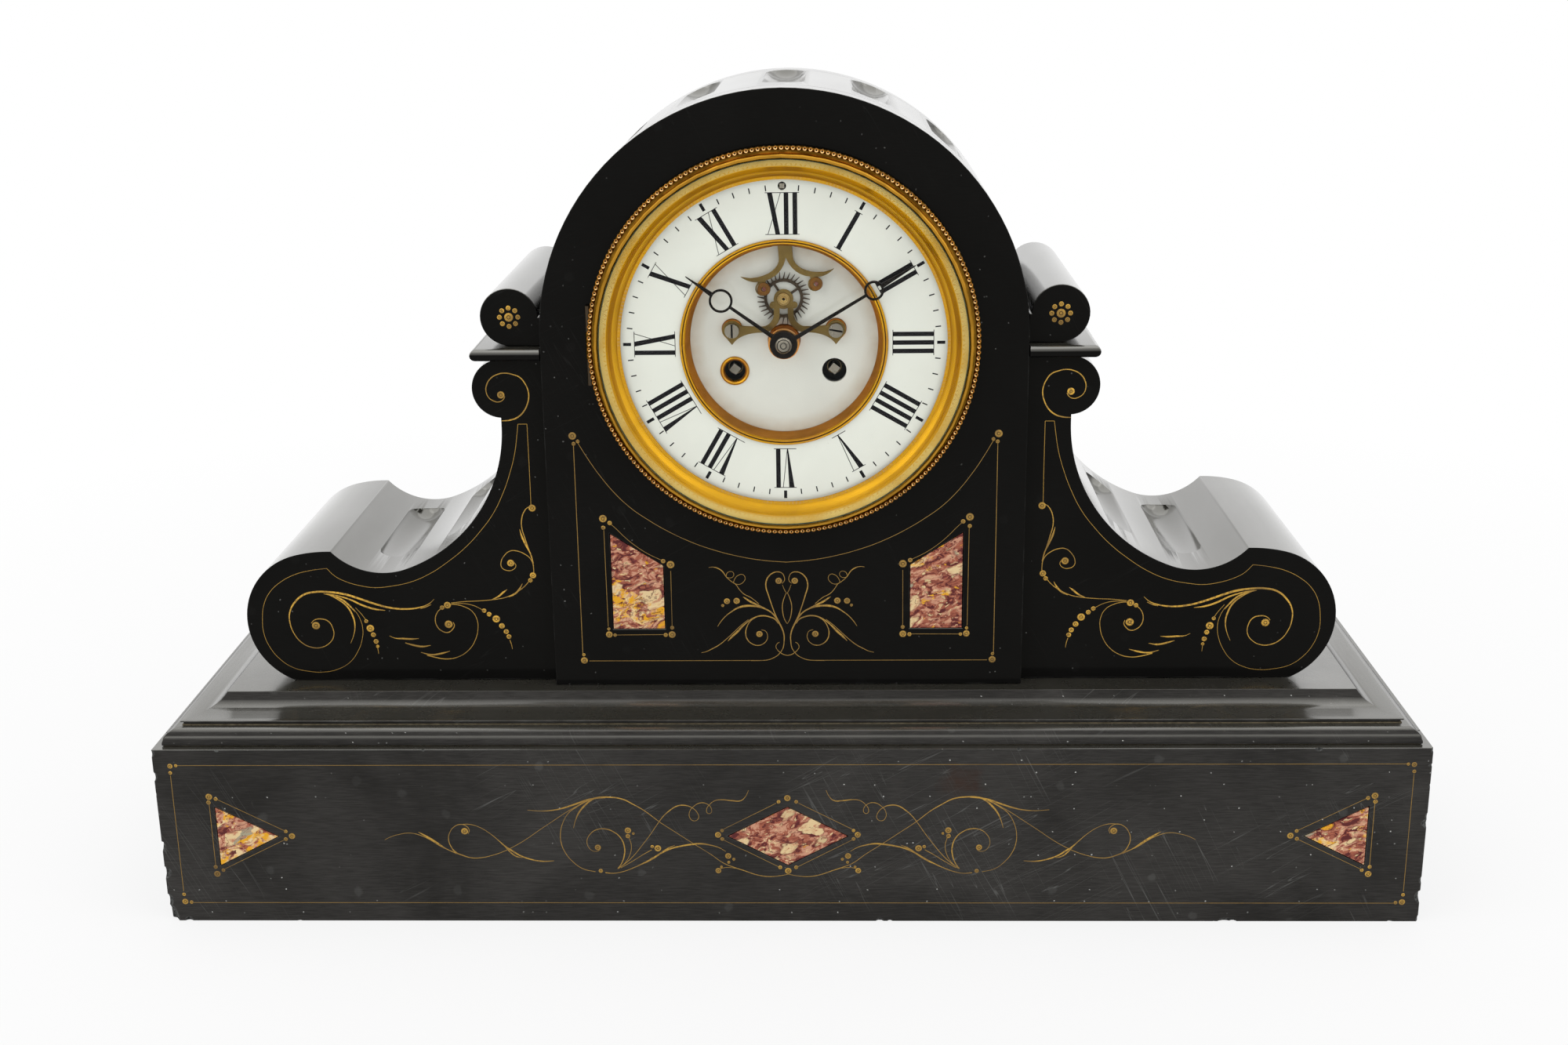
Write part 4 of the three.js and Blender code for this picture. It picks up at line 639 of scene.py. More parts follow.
def ink_material(dial):
    material, tree, surface, place = surface_of(
        "fired_ink", Roughness=0.3, Specular_IOR_Level=0.1
    )
    patchy = spread(tree, noise(tree, place, 1100, 5), 0.5, 0.75, 0.0, 0.5)
    feed(tree, surface, Base_Color=mixed(tree, patchy, dial.ink, shaded(dial.ink, 3)))
    return material


def dull_material(name, tint, rough):
    """A plain dull coat, a little uneven."""
    material, tree, surface, place = surface_of(name, Roughness=rough, Specular_IOR_Level=0.1)
    uneven = spread(tree, noise(tree, place, 500, 5), 0.35, 0.7)
    feed(tree, surface, Base_Color=mixed(tree, uneven, shaded(tint, 0.5), tint))
    return material


def glass_material():
    """Clear glass that lets lamp light through to the dial."""
    material, tree, surface, place = surface_of("bevelled_glass", Roughness=0.0, IOR=1.47)
    feed(tree, surface, Transmission_Weight=1.0, Base_Color=(1.0, 1.0, 1.0))
    feed(tree, surface, Specular_IOR_Level=0.03, Specular_Tint=(0.1, 0.1, 0.1))
    feed(tree, surface, Normal=bumped(tree, noise(tree, place, 40, 2), 0.04, 0.1 * MM))
    rays = tree.nodes.new("ShaderNodeLightPath")
    shadow = rays.outputs["Is Shadow Ray"]
    passing = compute(tree, "MAXIMUM", shadow, rays.outputs["Is Diffuse Ray"])
    clear = put(tree, "BsdfTransparent")
    both = put(tree, "MixShader", {0: passing, 1: surface.outputs[0], 2: clear})
    tree.links.new(both, tree.nodes["Material Output"].inputs["Surface"])
    return material


def carnelian_material(metal):
    material, tree, surface, place = surface_of("carnelian", Roughness=0.1, Coat_Weight=0.1)
    bands = spread(tree, noise(tree, place, 900, 4), 0.4, 0.7)
    feed(tree, surface, Base_Color=mixed(tree, bands, metal.stone, shaded(metal.stone, 2.2)))
    return material


# Helpers that build meshes.


def mesh_of(shape, name):
    mesh = bpy.data.meshes.new(name)
    shape.to_mesh(mesh)
    shape.free()
    return mesh


def linked(name, data):
    piece = bpy.data.objects.new(name, data)
    bpy.context.scene.collection.objects.link(piece)
    return piece


def piece_of(shape, name, node, material, replaces=False, sharp=SMOOTH_ANGLE):
    """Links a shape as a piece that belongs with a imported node, or stands in its place."""
    mesh = mesh_of(shape, name)
    piece = linked(name, mesh)
    mesh.materials.append(material)
    mesh.polygons.foreach_set("use_smooth", [True] * len(mesh.polygons))
    mesh.set_sharp_from_angle(angle=math.radians(sharp))
    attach(piece, BODY_OF[node])
    if replaces:
        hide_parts(node)
    return piece


def softened(piece, width, angle=SMOOTH_ANGLE, harden=True):
    """Rounds the sharp edges of a piece."""
    bevel = piece.modifiers.new("soft_edges", "BEVEL")
    bevel.width = width
    bevel.segments = 2
    bevel.limit_method = "ANGLE"
    bevel.angle_limit = math.radians(angle)
    bevel.use_clamp_overlap = True
    bevel.harden_normals = harden
    return piece


def merged_copy(node):
    """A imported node's mesh with its loose triangles joined and its flat faces whole."""
    shape = bmesh.new()
    shape.from_mesh(frame["nodes"][node].data)
    bmesh.ops.remove_doubles(shape, verts=shape.verts, dist=2e-6)
    tilt = math.radians(0.6)
    bmesh.ops.dissolve_limit(shape, angle_limit=tilt, verts=shape.verts, edges=shape.edges)
    return shape


def finished(node, material, width, sharp=FINE_ANGLE):
    """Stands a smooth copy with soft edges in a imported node's place."""
    piece = piece_of(merged_copy(node), node + "_finish", node, material, True, sharp)
    return softened(piece, width, angle=sharp)


def settled_mesh(piece):
    """The mesh that a piece has once its modifiers have worked."""
    view = bpy.context.evaluated_depsgraph_get()
    return bpy.data.meshes.new_from_object(piece.evaluated_get(view))


def cut_away(piece, shape, material=None):
    """Takes a shape out of a piece for good; the cut shows the material if one is given."""
    cutter = linked(piece.name + "_cutter", mesh_of(shape, piece.name + "_cutter"))
    cut = piece.modifiers.new("cut", "BOOLEAN")
    cut.operation = "DIFFERENCE"
    cut.object = cutter
    cut.use_self = True
    if material:
        cutter.data.materials.append(material)
        cut.material_mode = "TRANSFER"
    whole = settled_mesh(piece)
    piece.modifiers.clear()
    piece.data = whole
    bpy.data.objects.remove(cutter)
    return whole


def spun(profile, steps=192, closed=True, centre=CENTRE):
    """Turns (radius, depth) pairs, in millimetres, into a ring or a disc round an axis along Y."""
    shape = bmesh.new()
    places = [centre + Vector((radius, depth, 0)) * MM for radius, depth in profile]
    verts = [shape.verts.new(place) for place in places]
    pairs = list(zip(verts, verts[1:]))
    if closed:
        pairs.append((verts[-1], verts[0]))
    edges = [shape.edges.new(pair) for pair in pairs]
    bmesh.ops.spin(
        shape,
        geom=verts + edges,
        cent=centre,
        axis=(0, 1, 0),
        dvec=(0, 0, 0),
        angle=FULL_TURN,
        steps=steps,
        use_merge=True,
    )
    bmesh.ops.remove_doubles(shape, verts=shape.verts, dist=1e-7)
    bmesh.ops.recalc_face_normals(shape, faces=shape.faces)
    return shape


def ring_of(shape, x, z, radius, steps, depth):
    """The edges of a circle round a point of the dial."""
    turned = Matrix.Translation(CENTRE + Vector((x, depth, z)) * MM)
    circle = bmesh.ops.create_circle(
        shape,
        cap_ends=False,
        radius=radius * MM,
        segments=steps,
        matrix=turned @ Matrix.Rotation(math.pi / 2, 4, "X"),
    )
    return list({edge for vert in circle["verts"] for edge in vert.link_edges})


def holed_plate(outer, holes, front, back, steps):
    """A flat round plate between two depths, with round holes given as (x, z, radius)."""
    shape = bmesh.new()
    edges = ring_of(shape, 0, 0, outer, steps, front)
    for x, z, radius in holes:
        edges += ring_of(shape, x, z, radius, max(24, int(steps * radius / outer)), front)
    filled = bmesh.ops.triangle_fill(shape, use_beauty=True, edges=edges, normal=(0, -1, 0))
    faces = [item for item in filled["geom"] if isinstance(item, bmesh.types.BMFace)]
    grown = bmesh.ops.extrude_face_region(shape, geom=faces, use_keep_orig=True)
    moved = [item for item in grown["geom"] if isinstance(item, bmesh.types.BMVert)]
    bmesh.ops.translate(shape, vec=(0, (back - front) * MM, 0), verts=moved)
    bmesh.ops.recalc_face_normals(shape, faces=shape.faces)
    return shape


def box_in(shape, size, matrix):
    """Adds a box of a given size, moved and turned by the matrix."""
    made = bmesh.ops.create_cube(shape, size=1.0)["verts"]
    bmesh.ops.scale(shape, vec=size, verts=made)
    bmesh.ops.transform(shape, matrix=matrix, verts=made)


def slab_bar(shape, corners, low, high):
    """A flat bar with four given corners in the dial's plane, between two depths."""
    order = {(-1, -1): 0, (1, -1): 1, (1, 1): 2, (-1, 1): 3}
    for vert in bmesh.ops.create_cube(shape, size=1.0)["verts"]:
        x, z = corners[order[(round(vert.co.x * 2), round(vert.co.z * 2))]]
        depth = high if vert.co.y > 0 else low
        vert.co = CENTRE + Vector((x, depth, z))


def on_dial(across, radius, angle):
    """A point given across and up an upright figure, turned clockwise round the dial."""
    return (
        across * math.cos(angle) + radius * math.sin(angle),
        -across * math.sin(angle) + radius * math.cos(angle),
    )


def cup(shape, place, radius, height, hollow, segments=12):
    """A low round boss with a sunk middle, which it gives back. Its place is its foot's middle.

    Hollow is the rim's width as a share of the radius.
    """
    turned = Matrix.Translation(place - Vector((0, height / 2, 0)))
    made = bmesh.ops.create_cone(
        shape,
        cap_ends=True,
        segments=segments,
        radius1=radius,
        radius2=radius * 0.78,
        depth=height,
        matrix=turned @ Matrix.Rotation(math.pi / 2, 4, "X"),
    )
    faces = {face for vert in made["verts"] for face in vert.link_faces}
    front = min(faces, key=lambda face: face.calc_center_median().y)
    front.normal_update()
    bmesh.ops.inset_individual(shape, faces=[front], thickness=radius * hollow, depth=0)
    bmesh.ops.translate(shape, vec=(0, height * 0.6, 0), verts=front.verts)
    return front


def milled_bars(total, radius, depth, size, tilt=0.0):
    """Small bars of (width, thickness, length) in a ring, leaning to and fro by turns."""
    shape = bmesh.new()
    for index in range(total):
        angle = index * FULL_TURN / total
        lean = tilt if index % 2 else -tilt
        x, z = on_dial(0, radius * MM, angle)
        place = Matrix.Translation(CENTRE + Vector((x, depth * MM, z)))
        box_in(shape, Vector(size) * MM, place @ Matrix.Rotation(angle + lean, 4, "Y"))
    return shape


def wires(strokes):
    """Round wires along strokes of (x, z, width) points, lying in the upright middle plane."""
    curve = bpy.data.curves.new("gold_strokes", "CURVE")
    curve.dimensions = "3D"
    curve.bevel_depth = MM
    curve.bevel_resolution = 1
    curve.resolution_u = 5
    curve.use_fill_caps = True
    for stroke in strokes:
        points = curve.splines.new("BEZIER").bezier_points
        points.add(len(stroke) - 1)
        for point, (x, z, width) in zip(points, stroke):
            point.co = (x * MM, 0, z * MM)
            point.handle_left_type = point.handle_right_type = "AUTO"
            point.radius = width / 2
    holder = linked("gold_strokes", curve)
    mesh = settled_mesh(holder)
    bpy.data.objects.remove(holder)
    bpy.data.curves.remove(curve)
    return mesh


# The operators, one for each group of pieces.


class ClockOperator:
    """What all the clock's operators share."""

    bl_options = {"REGISTER"}


# Chips on the plinth's front, as (place along the edge, size) in millimetres.
HALF_WIDTH = 260
PLINTH_TOP = 77.8
LEFT_CHIPS = (
    (0.5, 7.0), (9.0, 3.2), (15.6, 5.2), (22.0, 3.6), (34.1, 2.6), (36.9, 1.7), (49.5, 2.2),
    (57.8, 1.2), (66.2, 2.6), (76.9, 2.4),
)
RIGHT_CHIPS = (
    (0.5, 6.4), (11.4, 3.4), (19.0, 1.5), (30.6, 1.8), (44.8, 3.0), (47.9, 1.8), (61.2, 1.6),
    (70.1, 2.1), (77.4, 2.2),
)
FOOT_CHIPS = (
    (-252, 2.0), (-205, 1.2), (-121, 1.5), (38, 2.0), (42, 1.3), (176, 2.2), (180, 3.0),
    (184, 1.8), (249, 2.2),
)
TOP_CHIPS = ((-233, 1.1), (-148, 1.0), (94, 1.1), (214, 1.4))
CHIPS = (
    *((-HALF_WIDTH, z, size) for z, size in LEFT_CHIPS),
    *((HALF_WIDTH, z, size) for z, size in RIGHT_CHIPS),
    *((x, 0, size) for x, size in FOOT_CHIPS),
    *((x, PLINTH_TOP, size) for x, size in TOP_CHIPS),
)


class CLOCK_OT_slate(ClockOperator, bpy.types.Operator):
    """Gives each slate slab, scroll, shelf and roll its polished or worn stone"""

    bl_idname = "clock.slate"
    bl_label = "Slate Case"

    def execute(self, context):
        stone = context.scene.clock_stone
        worn = slate_material(stone, "worn_slate", stone.plinth_wear, WORN_SHINE)
        polished = slate_material(stone, "polished_slate", stone.polished_wear, POLISHED_SHINE)
        for node, slot in SLOT_OF.items():
            if slot != "slate" or node == "plinth_front_slab":
                continue
            low = "plinth" in node or "moulding" in node
            finished(node, worn if low else polished, stone.soft_edge, SLATE_ANGLE)
        self.chipped_front(stone, worn)
        self.joints(stone)
        return {"FINISHED"}

    def joints(self, stone):
        """Old plaster that shows as thin lines between the plinth and its mouldings."""
        plaster = dull_material("joint_plaster", stone.joint, 0.9)
        for name, below, above, inset in (
            ("lower_joint", "plinth_front_slab", "torus_moulding_slab", 0.8),
            ("upper_joint", "torus_moulding_slab", "cove_moulding_slab", 0.6),
        ):
            low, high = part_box(above)
            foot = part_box(below)[1].z
            size = Vector((high.x - low.x, high.y - low.y, low.z - foot))
            size -= Vector((2, 1, 0)) * inset * MM
            middle = Vector((0, (low.y + high.y + inset * MM) / 2, (low.z + foot) / 2))
            shape = bmesh.new()
            box_in(shape, size, Matrix.Translation(middle))
            piece_of(shape, name, above, plaster)

    def chipped_front(self, stone, worn):
        node = "plinth_front_slab"
        piece = piece_of(merged_copy(node), node + "_finish", node, worn, True)
        softened(piece, stone.soft_edge, harden=False)
        mesh = cut_away(piece, self.blobs(), bare_slate_material(stone))
        mesh.polygons.foreach_set("use_smooth", [False] * len(mesh.polygons))

    def blobs(self):
        """Lumps that bite into the edges, each turned and stretched in its own way."""
        shape = bmesh.new()
        for index, (x, z, size) in enumerate(CHIPS):
            side = math.copysign(0.3, x) if abs(x) == HALF_WIDTH else 0
            outward = Vector((side, -0.4, -0.35 if z == 0 else 0))
            place = Vector((x * MM, PLINTH_FACE, z * MM)) + outward * size * MM
            made = bmesh.ops.create_icosphere(shape, subdivisions=2, radius=size * MM)["verts"]
            wide = 1 + 0.45 * math.sin(index * 2.3)
            tall = 1 + 0.5 * math.sin(index * 1.7 + 1)
            bmesh.ops.scale(shape, vec=(wide, 1.0, tall), verts=made)
            turned = Matrix.Rotation(index * 1.3, 4, "X") @ Matrix.Rotation(index * 0.9, 4, "Z")
            bmesh.ops.transform(shape, matrix=Matrix.Translation(place) @ turned, verts=made)
        return shape


class CLOCK_OT_marble(ClockOperator, bpy.types.Operator):
    """Polishes the marble pieces that are let into the slate"""

    bl_idname = "clock.marble"
    bl_label = "Marble Inlays"

    def execute(self, context):
        marble = marble_material(context.scene.clock_stone)
        for node, slot in SLOT_OF.items():
            if slot == "marble":
                finished(node, marble, 0.15 * MM, SMOOTH_ANGLE)
        return {"FINISHED"}


def camera_turn(pitch, yaw, roll):
    """How a camera is turned that looks down, to the left and leans by these angles."""
    upright = math.pi / 2 - pitch
    turned = Matrix.Rotation(yaw, 4, "Z") @ Matrix.Rotation(upright, 4, "X")
    return turned @ Matrix.Rotation(roll, 4, "Z")


def on_face(face, middle, across, down, width=0.0):
    """A pixel of the photo, and a width in pixels, as (x, z, width) in millimetres on a face.

    Middle is how far right of the clock's middle the ornament's own middle lies.
    """
    from_middle = Vector((across - PHOTO[0] / 2, PHOTO[1] / 2 - down, -FOCAL))
    sight = camera_turn(PITCH, YAW, ROLL) @ from_middle
    pixel = (face - EYE[1]) / sight.y
    place = (Vector(EYE) + sight * pixel) / MM
    return round(place.x - middle, 1), round(place.z, 1), round(width * pixel / MM, 2)


def laid(face, middle, points):
    """Points or dots at pixels of the photo, carried to a face."""
    return [on_face(face, middle, *point) for point in points]


def cut_width(width):
    """How wide a line is cut that looks so wide in the photo, where gold glares; in millimetres."""
    return round(max(0.2, width * (0.72 if width < 0.6 else 0.8)), 2)


def traced(face, middle, strokes):
    """Strokes through pixels of the photo, each point with a width of its own."""
    return [
        [(x, z, cut_width(width)) for x, z, width in laid(face, middle, stroke)]
        for stroke in strokes
    ]


def ruled(width, face, middle, lines):
    """Lines of one width in millimetres through pixels of the photo."""
    return [[(x, z, width) for x, z, _ in laid(face, middle, line)] for line in lines]


def even(width, *places):
    """A stroke of one width along (x, z) places, all in millimetres."""
    return [(x, z, width) for x, z in places]


# The gold on the right half of the front. The points of its strokes were picked in the photo, as
# (pixels from its left, pixels from its top, width in pixels); dots have a radius in place of the
# width, and lines of one width have none.
PLINTH_STROKES = (
    # Tendril
    ((1058, 1008, 0.5), (1062, 1016, 1), (1068, 1021, 1.8), (1080, 1021, 2.2), (1092, 1020, 1.6),
     (1101, 1021, 1.3), (1108, 1026, 1.1), (1112, 1032, 1.1), (1111, 1037, 1.1),
     (1107, 1037, 1.1), (1106, 1031, 1.1), (1112, 1025, 1.2), (1120, 1024, 1.6),
     (1128, 1028, 1.2), (1134, 1035, 1.1), (1134, 1043, 1.1), (1129, 1047, 1.1),
     (1123, 1044, 1.1), (1124, 1037, 1.1), (1131, 1030, 1.3), (1140, 1027, 2), (1150, 1028, 2.1),
     (1160, 1034, 1.9), (1168, 1041, 1.5), (1175, 1050, 1.2), (1185, 1064, 1.2),
     (1195, 1077, 1.2), (1208, 1092, 1.3), (1218, 1101, 1.5), (1227, 1107, 1.2)),
    # Great curve
    ((1009.8, 1115, 1), (1020, 1117, 1.3), (1035, 1118, 1.6), (1050, 1116, 1.5),
     (1065, 1111, 1.8), (1080, 1106, 1.7), (1092, 1101, 1.3), (1108, 1090, 1.1),
     (1130, 1076, 1.1), (1152, 1062, 1.1), (1172, 1049, 1.2), (1192, 1034, 1.8), (1206, 1026, 2),
     (1220, 1019, 2.2), (1238, 1016.5, 2.6), (1252, 1017, 2.8), (1265, 1021, 2.6),
     (1278, 1028, 1.9), (1290, 1037, 1.3), (1298, 1050, 1.2), (1301, 1063, 1.3),
     (1300, 1076, 1.6), (1295, 1088, 1.3), (1286, 1099, 1.2), (1273, 1108, 1.2), (1257, 1112, 1.2)),
    # Long leaf
    ((1244, 1113, 2), (1234, 1114, 1.4), (1222, 1112, 1.4), (1208, 1107, 1.6), (1195, 1101, 2.2),
     (1182, 1094, 2.6), (1170, 1087, 2.8), (1158, 1082, 2.6), (1145, 1079, 2.8),
     (1132, 1077, 3.2), (1120, 1076, 3), (1108, 1078, 2), (1098, 1081, 1.4), (1089, 1086, 0.8)),
    # Leaf fold
    ((1154, 1078, 0.8), (1163, 1082, 2.2), (1172, 1088, 2.8), (1182, 1095, 2.2), (1193, 1101, 0.8)),
    # Spiral
    ((1228, 1108, 1.6), (1223, 1101, 1.8), (1219, 1090, 2.2), (1219, 1080, 2.2),
     (1223, 1069, 1.9), (1232, 1061, 1.8), (1243, 1057, 2.2), (1254, 1058, 1.8),
     (1262, 1063, 1.3), (1267, 1073, 1.1), (1264, 1082, 1.1), (1257, 1086, 1.1),
     (1251, 1084, 1.1), (1250, 1080, 1)),
    # Stalk
    ((1213, 1068, 1.2), (1210, 1078, 1.1), (1212, 1090, 1.1), (1218, 1100, 1.1), (1227, 1108, 1)),
    # Second stalk
    ((1184, 1084, 1.6), (1195, 1090, 1.2), (1208, 1098, 1.2), (1224, 1107, 1.2)),
    # Dipping leaf
    ((1250, 1016, 1.5), (1260, 1020, 2.6), (1270, 1028, 3.3), (1277, 1037, 2.8),
     (1281, 1046, 1.6), (1284, 1056, 0.6)),
    # Forward leaf
    ((1242, 1017, 1.8), (1262, 1019, 2.8), (1280, 1025, 3.2), (1296, 1030, 2.8),
     (1309, 1033, 1.9), (1325, 1034, 1.1), (1343, 1033, 0.8)),
    # Runner
    ((1268, 1022, 1.2), (1290, 1034, 1.2), (1310, 1047, 1.1), (1330, 1060, 1), (1345, 1070, 1),
     (1360, 1079, 1.2), (1375, 1086, 1.2), (1390, 1091, 1.3), (1405, 1094, 1.5),
     (1417, 1094, 1.6), (1428, 1091, 2), (1437, 1087, 2.4), (1443, 1080, 1.8), (1446, 1070, 1.5),
     (1444, 1061, 1.3), (1438, 1054, 1.3), (1430, 1051, 1.6), (1423, 1053, 1.4),
     (1419, 1058, 1.3), (1420, 1063, 1.1)),
    # End leaf
    ((1436, 1089, 1.2), (1450, 1082, 1.5), (1462, 1074, 2.6), (1472, 1068, 3.6),
     (1479, 1064, 2.8), (1485, 1061, 0.7)),
    # End tendril
    ((1437, 1088, 1.5), (1455, 1080, 1.6), (1470, 1071, 1.8), (1483, 1065, 1.4),
     (1497, 1062, 1.1), (1511, 1064, 1), (1521, 1067, 0.9), (1529, 1071, 0.6)),
    # Low leaf
    ((1310, 1098, 0.6), (1325, 1098.5, 2.2), (1340, 1096, 2.4), (1354, 1091, 2.6),
     (1364, 1085, 3.2), (1372, 1080, 2.4), (1381, 1072, 1.6), (1392, 1063, 1.2),
     (1405, 1055, 1.1), (1418, 1051, 1.3), (1430, 1051, 1.3)),
    # Low fold
    ((1351, 1094, 0.8), (1359, 1092, 2.2), (1366, 1087, 2.2), (1373, 1080, 1)),
    # Low link
    ((1097, 1108, 1), (1088, 1106.5, 1.1), (1077, 1107.5, 1.1)),
)
DIAMOND_LINES = (
    ((1023, 1024.5), (1091, 1057.5)),
    ((1022, 1105.5), (1092, 1071)),
)
TRIANGLE_LINES = (
    ((1656, 1059), (1743, 1018.5)),
    ((1656, 1071), (1736, 1109)),
)
PLINTH_DOTS = (
    (1250, 1111, 2.8), (1253, 1081, 4), (1214, 1059, 4.2), (1214, 1066.5, 3), (1207, 1063, 1.8),
    (1176, 1082, 4.4), (1183, 1080, 2.3), (1425, 1060, 4.6), (1086, 1092, 4), (1079, 1096, 2),
    (1085.5, 1100, 2), (1099, 1110.5, 3.8), (1095, 1106, 1.8),
)
TRIANGLE_DOTS = (
    (1646, 1066, 4.2), (1654, 1060, 2.5), (1654, 1070, 2.7), (1754, 1015, 4.4), (1745, 1018, 2.7),
    (1754.5, 1022.5, 3), (1745, 1115, 4.3), (1747, 1106, 2.7), (1737, 1110, 2.5),
)
DRUM_STROKES = (
    # Base curl
    ((1003, 836, 1.6), (1008, 835, 1.6), (1012, 832.5, 1.6), (1016, 829, 1.3), (1017.5, 825, 1.2),
     (1016, 821, 1.2), (1013, 819, 1)),
    # Base line
    ((1012, 832, 1.4), (1016, 836, 1.5), (1021, 839, 1.5), (1028, 841.5, 1.5), (1036, 842.3, 1.2),
     (1050, 842.5, 1.1)),
    # Stem
    ((1012, 832, 1.4), (1008.5, 826, 1.6), (1007, 818, 1.8), (1007, 810, 2), (1009, 802, 2.4),
     (1013, 794, 2.8), (1016.5, 786, 2.2), (1020, 777, 1.8), (1023, 768, 1.9), (1026, 758, 2),
     (1028.5, 748, 2.2), (1027.5, 740, 2.3), (1024.5, 734.5, 2.2), (1020, 731, 2),
     (1014, 729.5, 1.8), (1008, 731, 1.5), (1005, 736, 1.4), (1005, 741, 1.3), (1008, 744, 1)),
    # Bud
    ((1003, 756.5, 0.9), (1006, 763, 1.5), (1008, 772, 1.6), (1008, 781, 1.6), (1006, 790, 1.4),
     (1003, 795.5, 0.9)),
    # Bud tie
    ((1007.5, 746, 0.8), (1005, 752, 1.1), (1002.5, 757, 0.9)),
    # Upper leaf
    ((1013, 794, 2), (1018, 786, 2.4), (1024, 780, 2.4), (1032, 775.5, 2.8), (1040, 771.5, 3.2),
     (1049, 767, 3.6), (1055, 763, 2.6), (1058, 761, 0.8)),
    # Upper tendril
    ((1038, 770, 1.2), (1048, 762, 1.4), (1057, 757, 1.6), (1063, 751, 1.4), (1067, 745, 1.4),
     (1073, 741, 1.4), (1079, 735, 1.5), (1084, 728, 2), (1090, 724, 1.9), (1096, 722.5, 1.2),
     (1101, 723, 0.6)),
    # First loop
    ((1070, 743, 1.1), (1067.5, 737, 1.1), (1063, 733, 1.2), (1058, 732.5, 1.1),
     (1055, 736.5, 1.1), (1057, 742, 1.1), (1063, 745, 1.1), (1069, 744, 1.1)),
    # Second loop
    ((1079, 735.5, 1.2), (1078, 731, 1.2), (1074.5, 728.5, 1), (1070.5, 729.5, 1),
     (1069.5, 733.5, 1), (1073, 736.5, 1.1), (1079, 736, 1.1)),
    # Middle leaf
    ((1022, 781, 1.4), (1034, 775, 2.4), (1046, 772.5, 3.4), (1056, 772.5, 4), (1065, 775, 3),
     (1073, 779.5, 2), (1081, 785.5, 1.6), (1088, 793, 1.4), (1091.5, 798.5, 0.7)),
    # Lower leaf
    ((1014, 795, 1.4), (1018, 790, 2.2), (1025, 786.8, 2.4), (1033, 785.3, 2.5),
     (1041, 786.3, 2.2), (1050, 790.5, 2), (1058, 797, 2.6), (1066, 805, 3.8), (1073, 811.5, 3.6),
     (1079, 817.5, 0.8)),
    # Lower tendril
    ((1052, 790, 1.2), (1061, 797, 1.2), (1070, 805, 1.3), (1080, 814, 1.3), (1090, 822, 1.8),
     (1099, 827, 1.8), (1107, 830.5, 1.2), (1113, 832, 0.6)),
    # Spiral
    ((1042, 787, 1.4), (1049, 791.5, 1.6), (1054, 799, 1.8), (1056, 807, 1.9), (1054, 815, 1.9),
     (1048, 821, 1.8), (1040, 823, 1.7), (1033, 820.5, 1.5), (1028.5, 815, 1.3),
     (1028.5, 808, 1.2), (1031, 804.5, 1.1), (1036, 803.2, 1)),
)
ARCH_LINES = (
    ((1267, 562), (1256, 580.5), (1241, 602.5), (1220, 628), (1200, 647), (1180, 661),
     (1160, 673), (1130, 688), (1100, 699.5), (1060, 710), (1030, 715), (1003, 717)),
)
INLAY_LINES = (
    ((1163, 713.5), (1180, 705), (1195, 695.5), (1210, 683), (1220, 673), (1227, 666.5)),
    ((1151.5, 727), (1151.5, 797)),
    ((1163, 808.5), (1223, 808.5)),
)
DRUM_DOTS = (
    (1012, 741, 4.2), (1038.5, 808.5, 4.2), (1066.5, 766, 4.2), (1079, 766.5, 4), (1084.5, 772, 2),
)
FRAME_DOTS = (
    (1274, 553, 5), (1267, 560, 2.5), (1272.5, 563, 2.6), (1265.5, 841, 4.5), (1266, 834, 2.2),
    (1237, 659.5, 5), (1228.5, 665, 3), (1237, 671, 2.8), (1151.5, 719, 5), (1161, 714.5, 3),
    (1151.5, 808.5, 4.6), (1151.5, 800, 2.6), (1160, 809, 2.8), (1232.5, 808, 4.4),
    (1233, 801, 2.2), (1225, 809, 2.3),
)
